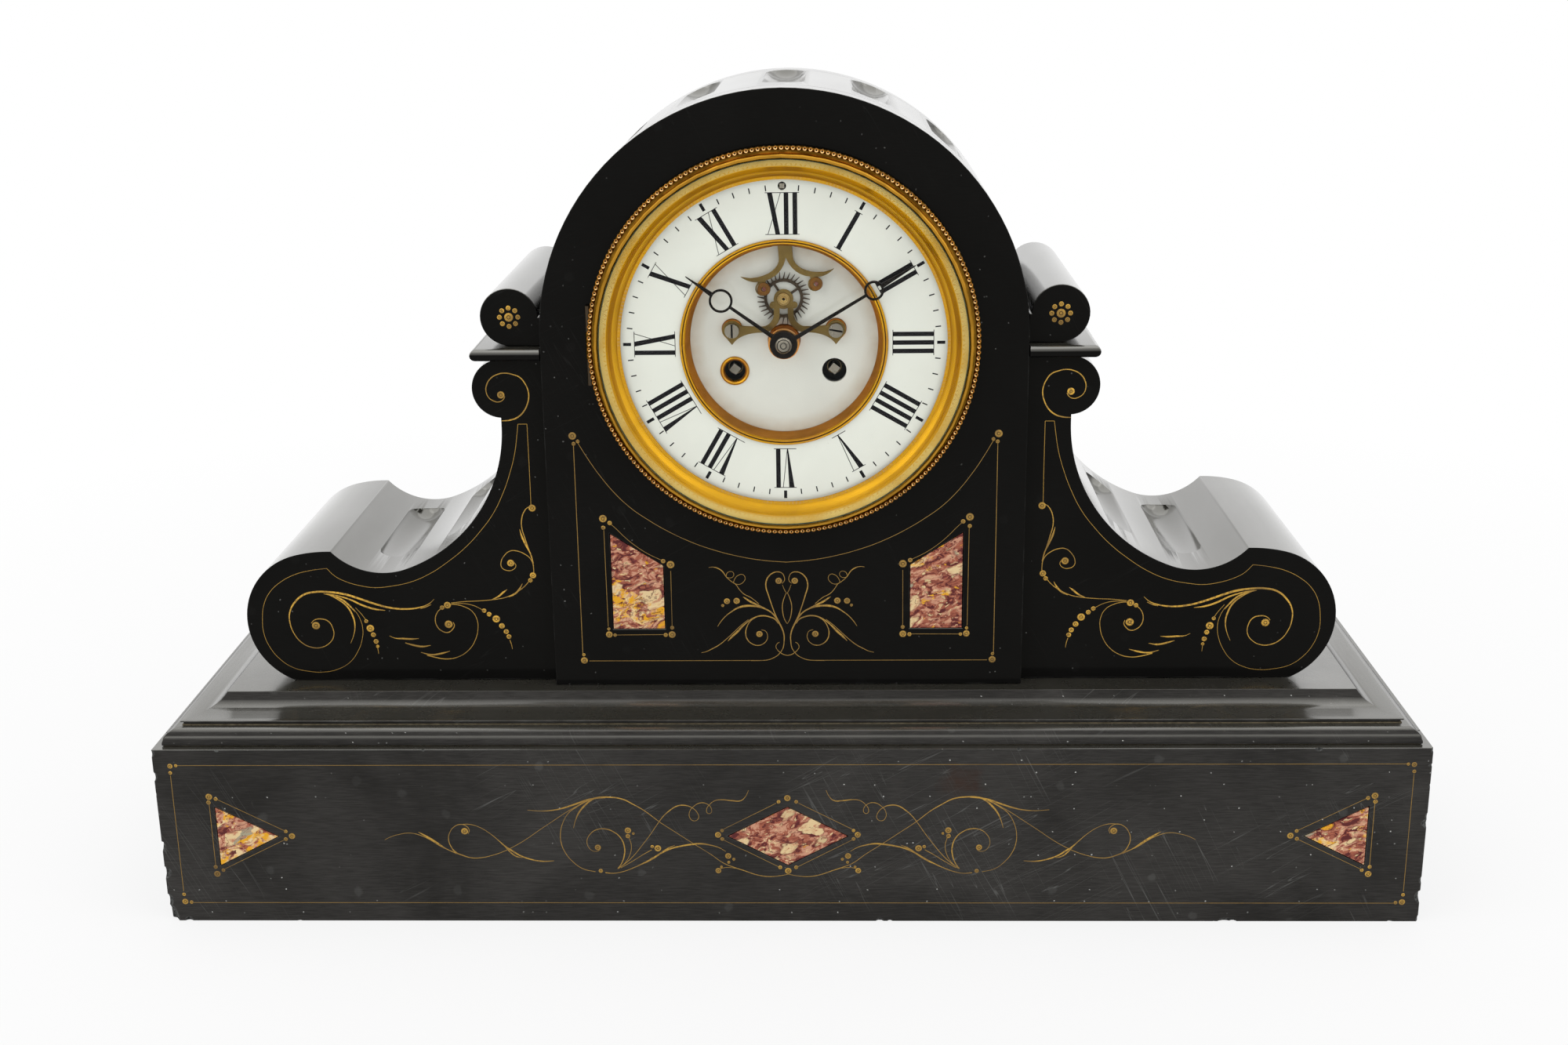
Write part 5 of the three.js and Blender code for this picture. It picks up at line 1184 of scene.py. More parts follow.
SCROLL_STROKES = (
    # Great spiral
    ((1459, 761, 0.8), (1466.1, 767, 1.8), (1478, 771.5, 2.4), (1495, 773.5, 3), (1515, 772, 3.4),
     (1535, 767, 3.6), (1555, 760, 3.8), (1575, 754, 4), (1595, 751, 3.6), (1614, 750.5, 3.4),
     (1629, 754, 3.4), (1641, 764, 3.2), (1648, 777, 2.4), (1648, 790, 2), (1643, 804, 1.8),
     (1633, 816, 1.8), (1620, 822, 1.9), (1608, 822.5, 1.8), (1597, 817, 1.6), (1591, 808, 1.7),
     (1592, 797, 1.8), (1598, 788.5, 1.9), (1607, 785.5, 2), (1616, 787, 1.6), (1620, 791, 1.2)),
    # Split end
    ((1463, 768, 0.8), (1470, 771, 2), (1477, 773, 1.2)),
    # Under leaf
    ((1523, 775, 1), (1538, 773, 3.4), (1553, 768, 3.4), (1568, 761, 3), (1584, 756, 2.4),
     (1600, 753, 1.2)),
    # Inner leaf
    ((1562, 777, 0.8), (1569, 769, 3), (1579, 761, 3.4), (1592, 755.5, 2.4), (1603, 753, 1)),
    # Falling leaf
    ((1569, 817, 0.5), (1565, 807, 1.3), (1563, 794, 2.2), (1566, 781, 3), (1573, 769, 2.8),
     (1585, 760, 2), (1600, 753, 1)),
    # Stem
    ((1470, 833, 2), (1455, 837, 1.9), (1442, 838, 1.8), (1428, 835, 1.5), (1415, 826, 1.4),
     (1407, 814, 1.3), (1403, 800, 1.2), (1404, 788, 1.2), (1410, 777, 1.3), (1420, 771, 1.4),
     (1432, 768, 1.4), (1441, 768, 1.2)),
    # First leaf
    ((1480, 811.5, 0.9), (1490, 812, 3), (1501, 811.5, 3.2), (1511, 811, 1.6), (1518, 808, 0.8)),
    # Second leaf
    ((1465, 820.5, 0.9), (1476, 822, 3.4), (1488, 820, 3.2), (1498, 817, 1.4)),
    # Third leaf
    ((1440, 828, 0.9), (1451, 831, 3.2), (1464, 832.5, 3), (1478, 829.5, 1.2)),
    # Seed stalk
    ((1562, 771, 0.8), (1554, 780, 1.2), (1548, 788, 1.2)),
    # Seed tail
    ((1534, 822, 1.4), (1533, 831, 0.7)),
    # Middle spiral
    ((1449, 772, 1.6), (1455, 778, 1.6), (1458, 787, 1.6), (1456, 796, 1.7), (1450, 802, 1.8),
     (1442, 804, 1.9), (1436, 800, 1.8), (1433.5, 795, 1.6), (1435, 791, 1.4)),
    # Back stem
    ((1437, 766, 1.2), (1420, 764.5, 1.3), (1400, 763.5, 1.3), (1380, 762, 1.4), (1365, 759, 1.6),
     (1352, 753, 1.6), (1342, 746, 1.5), (1335, 738.5, 1.5), (1330, 731, 1.4)),
    # Back leaf
    ((1364, 749, 0.9), (1369, 753, 3.4), (1376, 758.5, 3), (1384, 762, 1)),
    # Second back leaf
    ((1344, 742, 0.9), (1348, 749, 3.2), (1354, 755, 3), (1362, 759, 1)),
    # Bead stalk
    ((1436, 767, 1.2), (1420, 767, 1.2), (1407, 770, 1.2), (1396, 775.5, 1.2)),
    # Bead tail
    ((1362, 814, 1.6), (1360, 820, 1.3), (1359, 826, 0.7)),
    # Rising stem
    ((1329, 731, 1.2), (1329, 721, 1.3), (1331, 710, 1.6), (1335, 697, 1.7), (1340, 682, 1.7),
     (1343, 670, 1.6), (1343, 660, 1.7), (1340, 650, 1.7), (1335, 644.5, 1.5), (1330, 643, 1.2)),
    # Rising leaf
    ((1329, 716, 0.9), (1332.5, 704, 2), (1338, 693, 3), (1343, 682, 3.4), (1346, 672, 0.9)),
    # Small spiral
    ((1329, 719, 1.1), (1333, 710, 1.5), (1340, 704, 1.7), (1350, 700, 1.7), (1359, 700, 1.5),
     (1367, 706, 1.5), (1371, 714, 1.5), (1370, 721, 1.5), (1363, 725, 1.5), (1356, 724, 1.4),
     (1352, 719, 1.3), (1354, 714.5, 1.2)),
    # Volute
    ((1366, 532.5, 1.5), (1355, 531.5, 2.4), (1345, 528, 2.6), (1337, 521, 2.4), (1332, 511, 2.2),
     (1330, 502, 2.2), (1331, 493, 2), (1335, 484, 2), (1341, 477, 2.2), (1350, 473, 1.9),
     (1360, 471, 1.9), (1370, 472.5, 1.9), (1379, 478, 2), (1384, 486, 2), (1385, 494, 1.7),
     (1382, 502, 1.6), (1376, 506.5, 1.6), (1369, 508, 1.7), (1363, 505, 1.6), (1361, 501, 1.4)),
)
SCROLL_LINES = (
    # Border, neck side
    ((1330.5, 641), (1331.3, 600), (1332.4, 560), (1333, 537)),
    # Border, neck top
    ((1333, 537), (1345, 537)),
    # Border, hollow
    ((1345, 537), (1346.5, 550), (1350, 575), (1357, 600), (1366, 625), (1380, 652), (1396, 673),
     (1415, 693), (1440, 713), (1465, 729), (1490, 739), (1515, 744), (1535, 745.5), (1555, 743),
     (1575, 737), (1588, 730), (1598, 720.5)),
    # Border, round end
    ((1598, 720.5), (1605, 721), (1620, 723), (1640, 728), (1660, 738), (1673, 750), (1681, 765),
     (1684, 785), (1682, 805), (1674, 823), (1662, 837), (1645, 848), (1625, 853), (1605, 854),
     (1585, 850), (1570, 841), (1560, 828), (1554, 812), (1553, 798), (1556, 786), (1562, 776),
     (1571, 767), (1584, 758)),
)
SCROLL_DOTS = (
    (1614, 794, 5.2), (1543, 798, 5), (1548, 789, 2.6), (1539, 806.5, 3.3), (1536, 815, 3.3),
    (1534, 821.5, 2.2), (1441, 793.5, 5.2), (1442, 769, 4.6), (1449, 772, 3), (1333.5, 738, 3),
    (1330, 731.5, 4.2), (1394.5, 776.5, 3), (1388, 781, 3.2), (1379, 787, 5), (1372, 796, 3.8),
    (1366.5, 803.5, 3.4), (1363, 810, 3.2), (1358.5, 715.5, 4.7), (1329, 645, 4.7),
    (1366, 499, 4.8),
)
# The straight lines and the dots that end them, as (x, z) or (x, z, radius) in millimetres.
TRIANGLE_SIDE = ((238.3, 53.8), (238.3, 25.7))
BORDER_LINES = (
    ((0, 70.9), (249.9, 70.9)), ((253, 66.4), (253, 13.8)), ((0, 8.5), (249.4, 8.5)),
)
FRAME_LINES = (((85.5, 197), (85.5, 107)), ((10.2, 104), (82.9, 104)))
INLAY_SIDE = ((74.6, 161.2), (74.4, 119.2))
DIAMOND_DOTS = (
    (28.7, 39.6, 1.3), (27, 41.5, 0.74), (27, 37.7, 0.8), (0, 56.1, 1.35), (3.6, 54.4, 0.8),
    (0, 23.2, 1.4), (3.3, 24.8, 0.85),
)
BORDER_DOTS = (
    (252.8, 70.6, 1.1), (253, 67.6, 0.8), (250.4, 70.8, 0.7), (252.8, 9, 1.3), (250.2, 8.7, 0.8),
    (253, 12.3, 0.8),
)
# How far right of the clock's middle each ornament's middle lies in the photo, in millimetres.
PLINTH_SHIFT = 1.4
DRUM_SHIFT = -0.5
# Widths of the lines round the faces and round the marble, in millimetres.
PLINTH_BORDER = 0.22
PLINTH_INLAY = 0.23
DRUM_BORDER = 0.26
DRUM_INLAY = 0.24
SCROLL_BORDER = 0.24


class CLOCK_OT_engraving(ClockOperator, bpy.types.Operator):
    """Lays the gold in the cut lines, dots and rosettes of the front"""

    bl_idname = "clock.engraving"
    bl_label = "Gilt Engraving"

    def execute(self, context):
        gilding = context.scene.clock_gilding
        # A dark material of painted shade for the rings round the dots' sunk middles.
        dark = dull_material("gold_pit_shade", shaded(gilding.tarnish, 0.5), 0.7)
        for name, face, work, dim in (
            ("plinth_gilding", PLINTH_FACE, self.plinth_work, 0.35),
            ("drum_gilding", FACE, self.drum_work, 0.45),
            ("scroll_gilding", SCROLL_FACE, self.scroll_work, 0.0),
        ):
            shape = self.engraved(gilding, face, *work(face))
            gold = leaf_material(gilding, name + "_gold", face, dim)
            piece = piece_of(shape, name, "drum_front_slab", gold, sharp=50)
            piece.data.materials.append(dark)
        return {"FINISHED"}

    def plinth_work(self, face):
        """The strokes and the dots of the plinth."""
        strokes = traced(face, PLINTH_SHIFT, PLINTH_STROKES)
        strokes += ruled(PLINTH_INLAY, face, PLINTH_SHIFT, DIAMOND_LINES)
        strokes += ruled(PLINTH_INLAY, face, 0, TRIANGLE_LINES)
        strokes.append(even(PLINTH_INLAY, *TRIANGLE_SIDE))
        strokes += [even(PLINTH_BORDER, *line) for line in BORDER_LINES]
        dots = [*laid(face, PLINTH_SHIFT, PLINTH_DOTS), *DIAMOND_DOTS]
        return strokes, [*dots, *laid(face, 0, TRIANGLE_DOTS), *BORDER_DOTS]

    def drum_work(self, face):
        """The strokes and the dots of the drum."""
        slanted, inner, foot = ruled(DRUM_INLAY, face, 0, INLAY_LINES)
        strokes = traced(face, DRUM_SHIFT, DRUM_STROKES)
        strokes += [even(DRUM_BORDER, *line) for line in FRAME_LINES]
        strokes += ruled(DRUM_BORDER, face, 0, ARCH_LINES)
        strokes += [slanted, even(DRUM_INLAY, *INLAY_SIDE), inner, foot]
        return strokes, laid(face, DRUM_SHIFT, DRUM_DOTS) + laid(face, 0, FRAME_DOTS)

    def scroll_work(self, face):
        """The strokes and the dots of the scroll and the roll's end."""
        strokes = ruled(SCROLL_BORDER, face, 0, SCROLL_LINES) + traced(face, 0, SCROLL_STROKES)
        return strokes, laid(face, 0, SCROLL_DOTS) + self.rosette()

    def rosette(self):
        """The nine dots on the end of the right roll."""
        low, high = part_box("right_roll")
        x = (high.x - (high.z - low.z) / 2) / MM
        z = (low.z + high.z) / 2 / MM
        reach, petals = 3.7, 8
        dots = [(x, z, 1.8)]
        for index in range(petals):
            angle = index * FULL_TURN / petals
            dots.append((x + reach * math.sin(angle), z + reach * math.cos(angle), 1.02))
        return dots

    def engraved(self, gilding, face, strokes, dots):
        """Both halves of one face's gold: the right half is made, and mirrored to the left."""
        shape = bmesh.new()
        shape.from_mesh(wires(strokes))
        bmesh.ops.scale(shape, vec=(1, gilding.flatness, 1), verts=shape.verts)
        bmesh.ops.translate(shape, vec=(0, face, 0), verts=shape.verts)
        for x, z, radius in dots:
            if x:
                self.dot(shape, gilding, x, face, z, radius)
        whole = shape.verts[:] + shape.edges[:] + shape.faces[:]
        bmesh.ops.mirror(shape, geom=whole, matrix=Matrix.Identity(4), merge_dist=0, axis="X")
        for x, z, radius in dots:
            if not x:
                self.dot(shape, gilding, x, face, z, radius)
        bmesh.ops.recalc_face_normals(shape, faces=shape.faces)
        return shape

    def dot(self, shape, gilding, x, face, z, radius):
        """A boss with a ring of painted shade cut round its sunk middle."""
        place = Vector((x * MM, face, z * MM))
        middle = cup(shape, place, radius * MM, gilding.dot_height, 0.3)
        sunk = bmesh.ops.inset_individual(shape, faces=[middle], thickness=radius * 0.16 * MM)
        for ring_face in sunk["faces"]:
            ring_face.material_index = 1


# Places on the dial, as (x, z) from its middle in millimetres.
SIDES = ("left", "right")
WINDING_HOLES = ((-20, -12.5), (20, -12.5))
COCK_POSTS = ((-20.7, 4.5), (20.7, 4.5))
REGULATOR_RISE = 62
ESCAPE_RISE = 17
# Radii in millimetres.
RING_RADIUS = 66.2
RING_BORE = 41.0
CENTRE_RADIUS = 38.8
KEY_HOLE = 4.9
POST_HOLE = 4.2
HANDS_HOLE = 6.5
# The front and back of the enamel plates, counted from the drum's face.
RING_DEPTHS = (1.1, 3.1)
CENTRE_DEPTHS = (8.1, 10.1)


def spun_at(profile, steps, x, z):
    """A ring or disc round a place on the dial."""
    return spun(profile, steps, centre=CENTRE + Vector((x, 0, z)) * MM)


class CLOCK_OT_dial(ClockOperator, bpy.types.Operator):
    """Makes the enamel chapter ring, the sunk centre dial, and the black wells of painted shade
    behind its holes
    """

    bl_idname = "clock.dial"
    bl_label = "Enamel Dial"

    def execute(self, context):
        dial = context.scene.clock_dial
        metal = context.scene.clock_metal
        white = enamel_material("white_enamel", dial.enamel, dial.shade, 0.3)
        # The cream centre is browned towards its edge with painted shade.
        cream = enamel_material("cream_enamel", dial.cream, dial.shade, 0.6, CENTRE_EDGE)
        holes = [(0, 0, RING_BORE), (0, REGULATOR_RISE, 1.6)]
        ring = holed_plate(RING_RADIUS, holes, *RING_DEPTHS, 192)
        softened(piece_of(ring, "chapter_ring_enamel", "chapter_ring", white, True), 0.3 * MM)
        holes = [(x, z, KEY_HOLE) for x, z in WINDING_HOLES]
        holes += [(x, z, POST_HOLE) for x, z in COCK_POSTS]
        holes += [(0, 0, HANDS_HOLE), (0, ESCAPE_RISE, 1.0)]
        disc = holed_plate(CENTRE_RADIUS, holes, *CENTRE_DEPTHS, 160)
        softened(piece_of(disc, "centre_dial_enamel", "centre_dial", cream, True), 0.2 * MM)
        self.wells(dull_material("blackened_iron", metal.black, 0.45))
        return {"FINISHED"}

    def wells(self, black):
        # Black cups behind the winding holes: painted shade, so that the holes look dark.
        profile = [(5.3, 10.3), (5.6, 10.3), (5.6, 15.6), (2.9, 15.6), (2.9, 15.3), (5.3, 15.3)]
        for side, (x, z) in zip(SIDES, WINDING_HOLES):
            shape = spun_at(profile, 48, x, z)
            piece = piece_of(shape, side + "_winding_well_shade", "front_plate", black)


NUMERALS = ("XII", "I", "II", "III", "IIII", "V", "VI", "VII", "VIII", "IX", "X", "XI")
# For each sign: how far it moves the next one, then its thick and thin strokes as
# (head's left, head's right, foot's left, foot's right), in stroke widths.
SIGNS = {
    "I": (1.9, [(0, 1, 0, 1)], []),
    "V": (3.1, [(0, 1.2, 1.4, 1.62)], [(2.55, 1.55)]),
    "X": (3.6, [(0, 1.08, 1.75, 2.75)], [(2.9, 0.1)]),
}
# Minute marks as (half their width, inner radius, outer radius) in millimetres.
BOLD_TICK = (0.62, 60.7, 63.9)
FINE_TICK = (0.23, 60.3, 62.5)


class CLOCK_OT_printing(ClockOperator, bpy.types.Operator):
    """Prints the numerals and the minute track on the chapter ring"""

    bl_idname = "clock.printing"
    bl_label = "Numerals and Minutes"

    def execute(self, context):
        dial = context.scene.clock_dial
        shape = bmesh.new()
        for hour, text in enumerate(NUMERALS):
            self.numeral(shape, dial, text, hour * FULL_TURN / 12)
        for minute in range(1, 60):
            self.tick(shape, dial, minute)
        piece_of(shape, "dial_printing", "chapter_ring", ink_material(dial))
        return {"FINISHED"}

    def bar(self, shape, dial, head, foot, high, low, angle):
        corners = [
            on_dial(foot[0], low, angle),
            on_dial(foot[1], low, angle),
            on_dial(head[1], high, angle),
            on_dial(head[0], high, angle),
        ]
        front = RING_DEPTHS[0] * MM
        slab_bar(shape, corners, front - dial.print_height, front + dial.print_height)

    def width_of(self, dial, text):
        """How far a numeral reaches from its left side to its right side."""
        _, thick, thin = SIGNS[text[-1]]
        sides = [side for stroke in thick + thin for side in stroke]
        steps = sum(SIGNS[sign][0] for sign in text[:-1])
        return (steps + max(sides)) * dial.stroke

    def numeral(self, shape, dial, text, angle):
        width = dial.stroke
        hair = dial.hairline / 2
        high = dial.numeral_high
        low = dial.numeral_low
        right = self.width_of(dial, text) / 2
        left = -right
        for sign in text:
            step, thick, thin = SIGNS[sign]
            for a, b, c, d in thick:
                head = (left + a * width, left + b * width)
                foot = (left + c * width, left + d * width)
                self.bar(shape, dial, head, foot, high, low, angle)
            for a, c in thin:
                head = (left + a * width - hair, left + a * width + hair)
                foot = (left + c * width - hair, left + c * width + hair)
                self.bar(shape, dial, head, foot, high, low, angle)
            left += step * width
        ends = (-right - width * 0.45, right + width * 0.45)
        for level in (high, low):
            self.bar(shape, dial, ends, ends, level + hair, level - hair, angle)

    def tick(self, shape, dial, minute):
        half, low, high = (size * MM for size in (FINE_TICK if minute % 5 else BOLD_TICK))
        angle = minute * FULL_TURN / 60
        self.bar(shape, dial, (-half, half), (-half, half), high, low, angle)


# The ring on which the bezel's beads stand: its radius and its depth in millimetres.
BEAD_RING = 77.05
BEAD_DEPTH = -3.1


class CLOCK_OT_bezel(ClockOperator, bpy.types.Operator):
    """Finishes the gilt bezel with its beads, and sets the bevelled glass in its dirty seat"""

    bl_idname = "clock.bezel"
    bl_label = "Bezel and Glass"

    def execute(self, context):
        metal = context.scene.clock_metal
        brown = shaded(metal.old_gilt, 0.35)
        dark = shaded(metal.bronze, 0.3)
        browned = (74.6 * MM, 75.6 * MM)
        gilt = metal_material(
            "bezel_gilt", metal.bronze, dark, 0.24, 0.5, axis=DIAL_AXIS, browned=browned
        )
        finished("bezel_ring", gilt, 0.12 * MM)
        old = metal_material("browned_gilt", metal.old_gilt, brown, 0.3, 0.25)
        beads = piece_of(self.beads(metal.beads), "bezel_beads", "bezel_ring", old, sharp=60)
        # The beads' sunk middles take a near black of painted shade.
        beads.data.materials.append(dull_material("bead_pit_shade", shaded(metal.old_gilt, 0.06), 0.6))
        dirt = [(72.75, -6.6), (73.0, -6.5), (73.16, -6.7), (73.1, -7.1), (72.9, -7.15)]
        green = dull_material("verdigris", metal.verdigris, 0.6)
        piece_of(spun(dirt), "glass_dirt", "bezel_ring", green)
        pane = [(0, -5.2), (73.9, -5.2), (73.9, -6.3), (69.4, -7.8), (0, -7.8)]
        shape = spun(pane, closed=False)
        piece_of(shape, "bezel_glass_turned", "bezel_glass", glass_material(), True, 12)
        return {"FINISHED"}

    def beads(self, total):
        shape = bmesh.new()
        for index in range(total):
            x, z = on_dial(0, BEAD_RING * MM, index * FULL_TURN / total)
            place = CENTRE + Vector((x, BEAD_DEPTH * MM, z))
            cup(shape, place, 0.98 * MM, 0.8 * MM, 0.38, 10).material_index = 1
        return shape


CHEVRON_TILT = math.radians(38)


class CLOCK_OT_slip(ClockOperator, bpy.types.Operator):
    """Turns the gilt slip under the glass: its hatched band, chevrons, hollow and milled edge"""

    bl_idname = "clock.slip"
    bl_label = "Gilt Slip"

    def execute(self, context):
        metal = context.scene.clock_metal
        dark = shaded(metal.gilt, 0.55)
        bright = metal_material("bright_gilt", metal.gilt, dark, 0.3, 0.2, axis=DIAL_AXIS)
        grainy = metal_material("milled_gilt", metal.gilt, shaded(metal.old_gilt, 0.8), 0.35, 0.8)
        slip = [
            (73.9, -4.9), (73.6, -4.95), (69.6, -4.3), (68.9, -3.5), (67.9, -2.4), (66.8, -1.5),
            (65.6, -1.0), (64.8, -0.9), (64.8, -0.5), (65.6, -0.5), (66.4, -1.7), (69.6, -3.5),
            (73.1, -4.1), (73.1, -1.9), (73.9, -1.9),
        ]
        piece_of(spun(slip), "sight_ring_turned", "sight_ring", bright, True, 28)
        band = [(73.5, -4.9), (73.45, -5.02), (70.0, -4.47), (69.95, -4.36)]
        piece_of(spun(band), "hatched_band", "sight_ring", hatched_material(metal))
        chevrons = milled_bars(metal.chevrons, 70.7, -4.46, (0.3, 0.34, 1.3), CHEVRON_TILT)
        piece_of(chevrons, "chevron_line", "sight_ring", grainy)
        edge = milled_bars(metal.milled, 65.35, -1.0, (0.8, 0.42, 1.15))
        piece_of(edge, "milled_edge", "sight_ring", grainy)
        return {"FINISHED"}


class CLOCK_OT_centre_ring(ClockOperator, bpy.types.Operator):
    """Turns the gilt lip and the dull copper wall round the sunk centre"""

    bl_idname = "clock.centre_ring"
    bl_label = "Centre Ring"

    def execute(self, context):
        metal = context.scene.clock_metal
        bright = metal_material("lip_gilt", metal.gilt, metal.copper, 0.2, 0.6, axis=DIAL_AXIS)
        matte = metal_material(
            "wall_copper", metal.matte_copper, shaded(metal.matte_copper, 0.5), 0.5, 0.6
        )
        lip = [
            (41.4, 0.8), (41.4, 0.35), (41.2, 0.08), (40.9, 0.0), (40.6, 0.12), (40.5, 0.6),
            (40.2, 0.6), (40.1, 0.12), (39.9, 0.0), (39.6, 0.12), (39.4, 0.42), (39.25, 0.8),
        ]
        piece_of(spun(lip), "centre_ring_lip", "centre_ring", bright, sharp=28)
        # A dark ring in the lip's groove: painted shade.
        line = [(40.22, 0.4), (40.48, 0.4), (40.48, 0.58), (40.22, 0.58)]
        dark = dull_material("lip_groove_shade", shaded(metal.copper, 0.2), 0.5)
        piece_of(spun(line), "centre_ring_groove_shade", "centre_ring", dark)
        wall = [(39.2, 0.82), (37.6, 7.8), (38.6, 7.8), (40.2, 1.8), (40.6, 0.82)]
        piece = piece_of(spun(wall), "centre_ring_wall", "centre_ring", matte, True, 28)
        cut_away(piece, self.notch())
        bush = [
            (4.15, 10.8), (4.15, 8.7), (4.4, 8.0), (4.8, 7.5), (5.25, 7.32), (5.65, 7.55),
            (5.88, 8.0), (4.8, 8.02), (4.8, 10.8),
        ]
        shape = spun_at(bush, 72, *WINDING_HOLES[0])
        copper = metal_material("bush_gilt", metal.gilt, metal.copper, 0.2, 0.8)
        piece_of(shape, "left_bush_turned", "left_winding_bush", copper, True, 50)
        return {"FINISHED"}

    def notch(self):
        """The gap in the wall that the anchor's stem passes through."""
        shape = bmesh.new()
        middle = CENTRE + Vector((0, 6.4, 22)) * MM
        box_in(shape, Vector((9, 3.4, 44)) * MM, Matrix.Translation(middle))
        return shape


# The squares that a key turns, in millimetres and degrees.
WINDING_SQUARE = 3.4
REGULATOR_SQUARE = 1.9
SQUARE_TURN = 38


class CLOCK_OT_hands(ClockOperator, bpy.types.Operator):
    """Darkens the hands, paints shade on the arbors in their holes, and polishes the rest of the
    steel
    """

    bl_idname = "clock.hands"
    bl_label = "Hands and Steel"

    def execute(self, context):
        metal = context.scene.clock_metal
        grey = shaded(metal.blued, 2.5)
        blued = metal_material("blued_steel", metal.blued, grey, 0.4, 0.5, (300, 300, 300))
        brown = shaded(metal.steel, 0.4)
        steel = metal_material("polished_steel", metal.steel, brown, 0.22, 0.5, (500, 500, 500))
        for node in ("hour_hand", "minute_hand"):
            finished(node, blued, 0.15 * MM)
        # Painted shade: black steel for the arbors seen in their holes, the screw slots and the
        # nut's groove and hollow.
        black = dull_material("painted_shade_steel", metal.black, 0.5)
        for node, slot in SLOT_OF.items():
            if slot == "steel":
                inside = "winding" in node or node == "regulator_arbor"
                finished(node, black if inside else steel, 0.1 * MM)
        finished("hand_nut", steel, 0.12 * MM)
        self.square_ends(steel)
        self.screw_slots(black)
        self.nut_rings(steel, black)
        return {"FINISHED"}

    def square_ends(self, steel):
        """The bright ends of the three squares that a key turns."""
        for node, side, turned in (
            ("going_winding_arbor", WINDING_SQUARE, SQUARE_TURN),
            ("strike_winding_arbor", WINDING_SQUARE, SQUARE_TURN),
            ("regulator_arbor", REGULATOR_SQUARE, 0),
        ):
            low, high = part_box(node)
            place = Vector(((low.x + high.x) / 2, low.y, (low.z + high.z) / 2))
            self.bar(node + "_end", node, steel, place, (side, 0.1, side), turned)

    def bar(self, name, node, material, place, size, degrees):
        shape = bmesh.new()
        turned = Matrix.Rotation(math.radians(degrees), 4, "Y")
        box_in(shape, Vector(size) * MM, Matrix.Translation(place) @ turned)
        piece_of(shape, name, node, material)

    def screw_slots(self, black):
        """A dark bar of painted shade where each cock screw's slot lies."""
        for side, (x, z), degrees in zip(SIDES, COCK_POSTS, (90, 10)):
            place = CENTRE + Vector((x, 3.62, z)) * MM
            name = side + "_screw_slot_shade"
            self.bar(name, side + "_cock_screw", black, place, (5.3, 0.16, 0.72), degrees)

    def nut_rings(self, steel, black):
        """The turned rings on the front of the nut that holds the hands; its groove and its hollow
        are black rings of painted shade.
        """
        groove = [(2.35, -4.48), (2.35, -4.53), (2.65, -4.53), (2.65, -4.48)]
        ridge = [(1.45, -4.48), (1.55, -4.62), (1.8, -4.66), (2.05, -4.62), (2.2, -4.48)]
        hollow = [(1.0, -4.48), (1.0, -4.54), (1.3, -4.54), (1.3, -4.48)]
        for name, profile, material in (
            ("nut_groove_shade", groove, black),
            ("nut_ridge", ridge, steel),
            ("nut_hollow_shade", hollow, black),
        ):
            piece_of(spun(profile, 48), name, "hand_nut", material)


class CLOCK_OT_escapement(ClockOperator, bpy.types.Operator):
    """Finishes the visible escapement: wheel, anchor, stones, cock, and their small bushes"""

    bl_idname = "clock.escapement"
    bl_label = "Escapement"

    def execute(self, context):
        metal = context.scene.clock_metal
        dark = shaded(metal.olive, 0.45)
        olive = metal_material("olive_brass", metal.olive, dark, 0.36, 0.7, (150, 150, 700))
        brown = metal_material("brown_brass", metal.brown, shaded(metal.brown, 0.5), 0.4, 0.5)
        tint = shaded(metal.copper, 0.35)
        copper = metal_material("collar_brown", tint, shaded(metal.brown, 0.6), 0.3, 0.6)
        bush = metal_material("bush_brass", metal.brass, metal.olive, 0.2, 0.5)
        for node in ("pallet_anchor", "escape_cock"):
            finished(node, olive, 0.12 * MM)
        finished("escape_wheel", brown, 0.06 * MM)
        stone = carnelian_material(metal)
        for side in SIDES:
            finished(side + "_pallet_stone", stone, 0.1 * MM)
            self.collar(side, copper)
        self.sleeves(metal_material("sleeve_copper", metal.copper, metal.old_gilt, 0.3, 0.5))
        self.pivot(bush, dull_material("pivot_hole_shade", metal.black, 0.4))
        return {"FINISHED"}

    def collar(self, side, material):
        """The dark ring round one pallet stone."""
        low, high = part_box(side + "_pallet_stone")
        centre = Vector(((low.x + high.x) / 2, FACE, (low.z + high.z) / 2))
        profile = [(0.9, 4.88), (0.95, 4.62), (1.5, 4.5), (2.1, 4.55), (2.55, 4.72), (2.65, 4.88)]
        shape = spun(profile, 40, centre=centre)
        piece_of(shape, side + "_stone_collar", "pallet_anchor", material)

    def sleeves(self, material):
        """The copper-coloured caps on the posts that carry the cock."""
        profile = [(1.7, 6.0), (4.0, 6.0), (4.05, 8.0), (3.93, 8.0), (3.92, 6.15), (1.7, 6.15)]
        for side, (x, z) in zip(SIDES, COCK_POSTS):
            shape = spun_at(profile, 48, x, z)
            piece_of(shape, side + "_post_sleeve", "front_plate", material)

    def pivot(self, brass, black):
        """The turned bush on the cock's eye, and the pivot in it, black as painted shade."""
        centre = CENTRE + Vector((0, 0, ESCAPE_RISE)) * MM
        ring = [
            (0.5, 4.66), (0.5, 4.45), (0.9, 4.2), (1.15, 4.32), (1.4, 4.12), (1.9, 4.1),
            (2.1, 4.3), (2.45, 4.34), (2.7, 4.66),
        ]
        piece_of(spun(ring, 48, centre=centre), "cock_bush", "escape_cock", brass, sharp=25)
        disc = [(0, 4.42), (0.5, 4.42), (0.5, 4.62), (0, 4.62)]
        piece_of(spun(disc, 24, False, centre), "cock_pivot_shade", "escape_cock", black)


